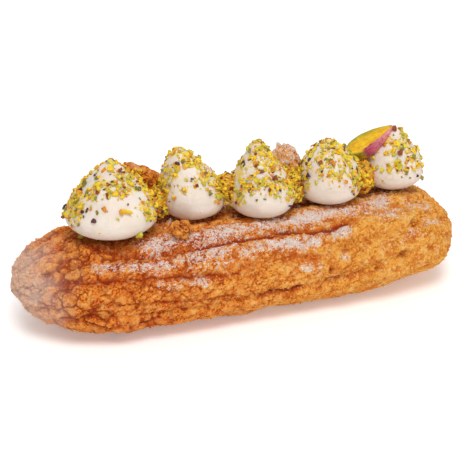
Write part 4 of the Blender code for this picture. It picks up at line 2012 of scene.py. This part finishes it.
FOURTH_KISS_BITS = (
    SeenBit(315, 140, 2.2, NutKind.LIME),
    SeenBit(305, 149, 0.8, NutKind.SKIN),
    SeenBit(339, 153, 2.6, NutKind.YELLOW),
    SeenBit(299, 165, 1.6, NutKind.RUSSET),
    SeenBit(307, 164, 1.3, NutKind.SKIN),
    SeenBit(321, 163, 1.7, NutKind.RUSSET),
    SeenBit(322, 171, 1.1, NutKind.SKIN),
    SeenBit(309, 175, 2.1, NutKind.SKIN),
    SeenBit(334, 165, 2.2, NutKind.AMBER),
    SeenBit(345, 165, 1.3, NutKind.RUSSET),
    SeenBit(352, 179, 1.1, NutKind.SKIN),
    SeenBit(345, 182, 1.7, NutKind.AMBER),
    SeenBit(353, 174, 1.6, NutKind.YELLOW),
    SeenBit(301, 184, 2.0, NutKind.RUSSET),
    SeenBit(352, 191, 1.1, NutKind.OLIVE),
    SeenBit(306, 193, 1.2, NutKind.OLIVE),
    SeenBit(355, 198, 1.8, NutKind.LIME),
)
FIFTH_KISS_BITS = (
    SeenBit(399, 153, 2.2, NutKind.RUSSET),
    SeenBit(392, 144, 1.7, NutKind.AMBER),
    SeenBit(403, 146, 2.0, NutKind.LIME),
    SeenBit(413, 157, 2.4, NutKind.OLIVE),
    SeenBit(399, 167, 2.4, NutKind.LIME),
    SeenBit(405, 169, 1.6, NutKind.AMBER),
    SeenBit(397, 171, 0.9, NutKind.SKIN),
    SeenBit(382, 170, 2.2, NutKind.LIME),
    SeenBit(417, 176, 1.3, NutKind.SKIN),
    SeenBit(402, 177, 0.8, NutKind.OLIVE),
    SeenBit(410, 178, 0.8, NutKind.OLIVE),
    SeenBit(383, 181, 0.9, NutKind.LIME),
    SeenBit(363, 164, 2.0, NutKind.AMBER),
    SeenBit(369, 166, 1.6, NutKind.RUSSET),
    SeenBit(362, 175, 2.6, NutKind.YELLOW),
    SeenBit(366, 184, 2.0, NutKind.YELLOW),
)
SEEN_BITS = (*FIRST_KISS_BITS, *SECOND_KISS_BITS, *THIRD_KISS_BITS, *FOURTH_KISS_BITS, *FIFTH_KISS_BITS)

SEEN_PATCHES = (
    SeenPatch(154, 186, 165, 212, 60, heap=True),
    SeenPatch(221, 180, 232, 210, 60, heap=True),
    SeenPatch(289, 164, 299, 202, 60, heap=True),
    SeenPatch(356, 160, 370, 188, 60, heap=True),
    SeenPatch(70, 190, 92, 212, 30),
    SeenPatch(98, 180, 120, 200, 22),
    SeenPatch(116, 168, 142, 190, 50),
    SeenPatch(146, 196, 155, 222, 36),
    SeenPatch(158, 178, 170, 204, 44),
    SeenPatch(184, 150, 204, 168, 24),
    SeenPatch(213, 176, 221, 204, 30),
    SeenPatch(268, 166, 292, 200, 44),
    SeenPatch(240, 176, 268, 190, 26),
    SeenPatch(300, 142, 348, 168, 60),
    SeenPatch(296, 166, 306, 192, 34),
    SeenPatch(350, 168, 358, 196, 24),
    SeenPatch(396, 146, 416, 164, 26),
    SeenPatch(374, 164, 412, 174, 22),
)


@dataclass(frozen=True)
class SeenCircle:
    """A round part of the photograph where the cream is clean: its middle and radius in pixels."""

    x: float
    y: float
    radius: float


SEEN_CLEAN = (
    SeenCircle(103, 177, 4.5),
    SeenCircle(138, 196, 7),
    SeenCircle(173, 158, 5),
    SeenCircle(181, 179, 6.5),
    SeenCircle(195, 171, 5),
    SeenCircle(243, 155, 6),
    SeenCircle(240, 171, 6),
    SeenCircle(252, 168, 4),
    SeenCircle(383, 160, 7),
    SeenCircle(391, 160, 5),
    SeenCircle(316, 182, 5),
)

SEEN_CRUMBS = (
    SeenCrumb(177, 217, 3.2, 0.75),
    SeenCrumb(170, 222, 2.2, 0.5),
    SeenCrumb(165, 229, 1.8, 0.2),
    SeenCrumb(190, 222, 2.0, 0.1),
    SeenCrumb(303, 203, 2.6, 0.15),
    SeenCrumb(297, 207, 1.8, 0.3),
    SeenCrumb(236, 217, 1.8, 0.4),
)


@dataclass
class NutScatter:
    """All chopped pistachio: dense on the kisses' upper parts, a few bits below, and in the valleys.

    Attributes:
        studio: The camera that the photograph's bits are seen with.
        tries: How many bits are tried on each square millimetre of cream.
        stray: The chance that a bit sticks where the cream is clean.
        fine_share: The share of bits that are fine.
        fine: The least and the largest size of a fine bit, in mm.
        coarse: The least size of a coarse bit, in mm.
        coarse_spread: How much larger a coarse bit can be, in mm.
        tip_share: How much likelier a bit is to stick than the kiss's girth says, so that the tip has some.
        least_raised: How far a bit of the solid stands out of the cream at least.
        apart: How far apart two of them are at least.
        solid_more: How much longer a copied bit is than twice what stands out.
        seen_scale: How much longer a bit is than it looks in the photograph, where part of it is sunk.
        kiss_shares: How much of each tone lies on the kisses.
        heap_shares: How much of each tone lies in the valleys.
    """

    studio: Studio
    tries: float = 1.8
    stray: float = 0.015
    fine_share: float = 0.5
    fine: tuple[float, float] = (0.4, 0.95)
    coarse: float = 0.95
    coarse_spread: float = 1.5
    tip_share: float = 0.12
    least_raised: float = 0.45 * MM
    apart: float = 2 * MM
    solid_more: float = 0.6 * MM
    seen_scale: float = 1.25
    kiss_shares: dict[NutKind, float] = field(default_factory=lambda: {
        NutKind.YELLOW: 0.42, NutKind.AMBER: 0.18, NutKind.LIME: 0.28,
        NutKind.OLIVE: 0.07, NutKind.RUSSET: 0.035, NutKind.SKIN: 0.015,
    })
    heap_shares: dict[NutKind, float] = field(default_factory=lambda: {
        NutKind.YELLOW: 0.4, NutKind.AMBER: 0.34, NutKind.LIME: 0.1,
        NutKind.OLIVE: 0.05, NutKind.RUSSET: 0.09, NutKind.SKIN: 0.02,
    })
    chips: dict[NutKind, list[Chip]] = field(default_factory=lambda: {kind: [] for kind in NutKind})
    cutter: ChipCutter = field(default_factory=ChipCutter)

    def draw(self, rng: random.Random, shares: dict[NutKind, float]) -> NutKind:
        """Draws a tone by its share."""
        return rng.choices(list(shares), list(shares.values()))[0]

    def sprinkle(self, kiss: CreamKiss) -> None:
        """Sprinkles one kiss by its own cover.

        Args:
            kiss: The kiss.
        """
        rng = random.Random(SEED * 100 + kiss.number)
        area = 2 * math.pi * (kiss.radius / MM) * (kiss.height / MM)
        for _ in range(int(area * self.tries)):
            up, angle = rng.uniform(0.0, 0.99), rng.uniform(-math.pi, math.pi)
            if rng.random() > kiss.girth(up) + self.tip_share:
                continue
            kind = self.draw(rng, self.kiss_shares)
            fine = rng.random() < self.fine_share
            size = rng.uniform(*self.fine) if fine else self.coarse + self.coarse_spread * rng.random() ** 2
            if rng.random() < max(kiss.nut_cover(up, angle), self.stray if fine else 0.0):
                chip = Chip(kiss.point(up, angle), kiss.out(up, angle), size * MM)
                if not self.clean(chip):
                    self.chips[kind].append(chip)

    def clean(self, chip: Chip) -> bool:
        """Whether the photograph shows clean cream where a bit would lie.

        Args:
            chip: The bit.

        Returns:
            True where the bit has to be left out.
        """
        if chip.out.dot(self.studio.back) < 0:
            return False
        pixel = self.studio.pixel(chip.spot)
        return any((pixel - Vector((circle.x, circle.y))).length < circle.radius for circle in SEEN_CLEAN)

    def copy_solid_bits(self, kiss: CreamKiss) -> None:
        """Puts a bit wherever the kiss's solid has one fused on.

        Args:
            kiss: The kiss.
        """
        rng = random.Random(SEED * 200 + kiss.number)
        found: list[Vector] = []
        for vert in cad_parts[kiss.node].data.vertices:
            near, out, _, away = kiss.tree.find_nearest(vert.co)
            outside = (vert.co - near).dot(out) > 0 and away >= self.least_raised
            if not outside or any((near - other).length < self.apart for other in found):
                continue
            found.append(near)
            kind = self.draw(rng, self.kiss_shares)
            self.chips[kind].append(Chip(near, out, 2 * away + self.solid_more))

    def place_seen(self, carriers: Sequence[BVHTree]) -> None:
        """Puts the bits that stand out in the photograph on whatever carries them.

        Args:
            carriers: The surfaces that they may lie on.
        """
        for bit in SEEN_BITS:
            found = self.studio.seen(bit.x, bit.y, carriers)
            if found:
                self.chips[bit.kind].append(Chip(*found, bit.size * self.seen_scale * MM))
        rng = random.Random(SEED * 400)
        for patch in SEEN_PATCHES:
            for _ in range(patch.bits):
                x, y = rng.uniform(patch.left, patch.right), rng.uniform(patch.top, patch.bottom)
                found = self.studio.seen(x, y, carriers)
                if found:
                    kind = self.draw(rng, self.heap_shares if patch.heap else self.kiss_shares)
                    self.chips[kind].append(Chip(*found, rng.uniform(*HEAPED_BITS) * MM))

    def fill(self, heap: NutHeap) -> None:
        """Spreads a heap's bits by their tones.

        Args:
            heap: The heap.
        """
        rng = random.Random(SEED * 300 + heap.number)
        for chip in heap.chips(rng):
            self.chips[self.draw(rng, self.heap_shares)].append(chip)

    def build(self) -> None:
        """Makes one piece for each tone."""
        for kind, chips in self.chips.items():
            name = f"pistachio_{kind.name.lower()}"
            enter(self.cutter.cut(name, chips), kind.value.material(name))


@dataclass
class Dusting:
    """Icing-sugar grains and loose crumbs that lie on the crust.

    Attributes:
        shell: The crust.
        grains: How many sugar grains are tried.
        crumbs: How many crumbs are tried.
        lowest: How high above the table they start.
        levels: The least and the highest level that a crumb's finish reads.
        grain_least: The least size of a grain, in mm.
        grain_spread: How much larger a grain can be, in mm.
        crumb_least: The least size of a crumb, in mm.
        crumb_spread: How much larger a crumb can be, in mm.
        seen_level: The level that the finish of the photograph's crumbs reads.
    """

    shell: ChouxShell
    grains: int = 9000
    crumbs: int = 12000
    lowest: float = 1.5 * MM
    levels: tuple[float, float] = (0.3, 0.95)
    grain_least: float = 0.18
    grain_spread: float = 0.27
    crumb_least: float = 0.45
    crumb_spread: float = 0.75
    seen_level: float = 0.55

    def spots(self, count: int, seed: int, keep: Callable[[float, float], float]) -> list[Chip]:
        """Draws places on the crust.

        Args:
            count: How many places are tried.
            seed: What the draws start from.
            keep: The chance that a place is kept, from its sugar and from how dark its cracks and painted
                shadow make it.

        Returns:
            The places, with sizes from 0 to 1 and the marks that a crust finish reads.
        """
        rng = random.Random(seed)
        mesh = self.shell.obj.data
        sugar = mesh.attributes["sugar"].data
        crack = mesh.attributes["crack"].data
        found = []
        for _ in range(count):
            vert = mesh.vertices[rng.randrange(len(mesh.vertices))]
            dusted, cracked = sugar[vert.index].value, crack[vert.index].value
            if vert.co.z > self.lowest and rng.random() < keep(dusted, cracked):
                level = rng.uniform(*self.levels)
                marks = {"level": level, "sugar": dusted, "wash": self.shell.wash(vert.co)}
                found.append(Chip(vert.co.copy(), vert.normal.copy(), rng.uniform(0.0, 1.0), marks))
        return found

    def build_sugar(self) -> None:
        """Makes the sugar grains."""
        draws = self.spots(self.grains, SEED * 11, lambda sugar, crack: 2.5 * sugar * sugar)
        sizes = [(self.grain_least + self.grain_spread * draw.size) * MM for draw in draws]
        chips = [Chip(draw.spot, draw.out, size) for draw, size in zip(draws, sizes)]
        cutter = ChipCutter(shapes=8, corners=7, sunk=0.15, softened=False, seed=SEED + 1)
        enter(cutter.cut("sugar_grains", chips), SugarFinish().material())

    def build_crumbs(self, material: bpy.types.Material) -> None:
        """Makes the crumbs baked onto the crust.

        Args:
            material: The crust's finish.
        """
        draws = self.spots(self.crumbs, SEED * 13, lambda sugar, crack: 0.5 * (1 - crack))
        sizes = [(self.crumb_least + self.crumb_spread * draw.size**2) * MM for draw in draws]
        chips = [Chip(draw.spot, draw.out, size, draw.marks) for draw, size in zip(draws, sizes)]
        cutter = ChipCutter(shapes=16, corners=14, sunk=0.5, softened=False, seed=SEED + 2)
        enter(cutter.cut("crust_crumbs", chips), material)

    def build_seen_crumbs(self, studio: Studio, material: bpy.types.Material) -> None:
        """Makes the larger crumbs that the photograph shows on the crust.

        Args:
            studio: The camera that they are seen with.
            material: Their finish.
        """
        chips = []
        for crumb in SEEN_CRUMBS:
            found = studio.seen(crumb.x, crumb.y, [self.shell.tree])
            if found:
                marks = {"level": self.seen_level, "sugar": crumb.sugar}
                chips.append(Chip(*found, crumb.size * MM, marks))
        cutter = ChipCutter(corners=16, flatness=(0.8, 1.0), sunk=0.3, seed=SEED + 3)
        enter(cutter.cut("large_crumbs", chips), material)


def kiss_row() -> list[CreamKiss]:
    """The five kisses, from the left end to the right.

    Returns:
        The kisses, not yet built.
    """
    return [
        CreamKiss(1, -39.6 * MM, -0.9 * MM, 13.2 * MM, 20.6 * MM, 0.4 * MM, 1.5, 0.10, front_line=0.48),
        CreamKiss(2, -13.8 * MM, 2.8 * MM, 9.8 * MM, 20.4 * MM, -4.4 * MM, 1.9, 0.20, front_line=0.44),
        CreamKiss(3, 5.9 * MM, -2.9 * MM, 10.0 * MM, 21.8 * MM, -1.8 * MM, 1.25, 0.28, front_line=0.32),
        CreamKiss(4, 28.5 * MM, -0.4 * MM, 9.8 * MM, 18.2 * MM, 0.0, 2.4, 0.25, front_line=0.4),
        CreamKiss(5, 51.9 * MM, 3.9 * MM, 9.5 * MM, 17.6 * MM, 0.6 * MM, 1.8, 0.18, front_line=0.36),
    ]


def crumble_lumps() -> list[CrumbleLump]:
    """The three lumps of crumble.

    Returns:
        The lumps, not yet built.
    """
    return [
        CrumbleLump(
            1, Vector((-28.2, 6.2, 40.2)) * MM, Vector((6.3, 3.4, 2.9)) * MM, math.radians(35), 1.2, 0.05
        ),
        CrumbleLump(
            2, Vector((16.2, 4.6, 38.8)) * MM, Vector((4.0, 3.8, 5.8)) * MM, math.radians(-6), 1.1, 0.3
        ),
        CrumbleLump(
            3, Vector((-21.7, -10.9, 29.2)) * MM, Vector((2.9, 2.5, 2.5)) * MM, math.radians(12), 0.8, 0.0
        ),
    ]


def nut_heaps() -> list[NutHeap]:
    """The four heaps of chopped nuts in the valleys.

    Returns:
        The heaps, not yet built.
    """
    return [
        NutHeap(1, Vector((-25.2, 2.6, 32.4)) * MM, Vector((3.6, 5.2, 5.8)) * MM),
        NutHeap(2, Vector((-4.0, 0.2, 35.4)) * MM, Vector((3.4, 4.6, 4.4)) * MM),
        NutHeap(3, Vector((17.2, 0.6, 32.4)) * MM, Vector((3.8, 5.2, 5.8)) * MM),
        NutHeap(4, Vector((40.2, 1.2, 32.2)) * MM, Vector((4.0, 5.4, 6.0)) * MM),
    ]


def main() -> None:
    """Builds the whole eclair and its studio."""
    logging.basicConfig(level=logging.INFO, format="%(name)s %(message)s")
    studio = Studio()
    studio.build_camera()
    studio.build_floor()
    studio.build_lights()

    kisses = kiss_row()
    cream = CREAM.material()
    for kiss in kisses:
        kiss.build()
        kiss.dress(cream)

    crust = CHOUX.material()
    crumble = CRUMBLE.material()
    shell = ChouxShell(studio)
    shell.build(kisses)
    shell.dress(crust)
    dusting = Dusting(shell)
    dusting.build_sugar()
    dusting.build_crumbs(crust)
    dusting.build_seen_crumbs(studio, crumble)

    lumps = crumble_lumps()
    for lump in lumps:
        lump.build()
        lump.dress(crumble)

    kernel = PistachioKernel()
    kernel.build()
    kernel.dress(KernelFinish().material())

    scatter = NutScatter(studio)
    heaps = nut_heaps()
    core = NutKind.AMBER.value.material("nut heap")
    for heap in heaps:
        heap.build()
        heap.dress(core)
        scatter.fill(heap)
    for kiss in kisses:
        scatter.copy_solid_bits(kiss)
        scatter.sprinkle(kiss)
    scatter.place_seen([piece.tree for piece in (*kisses, *heaps, *lumps, shell)])
    scatter.build()


if __name__ == "__main__":
    main()
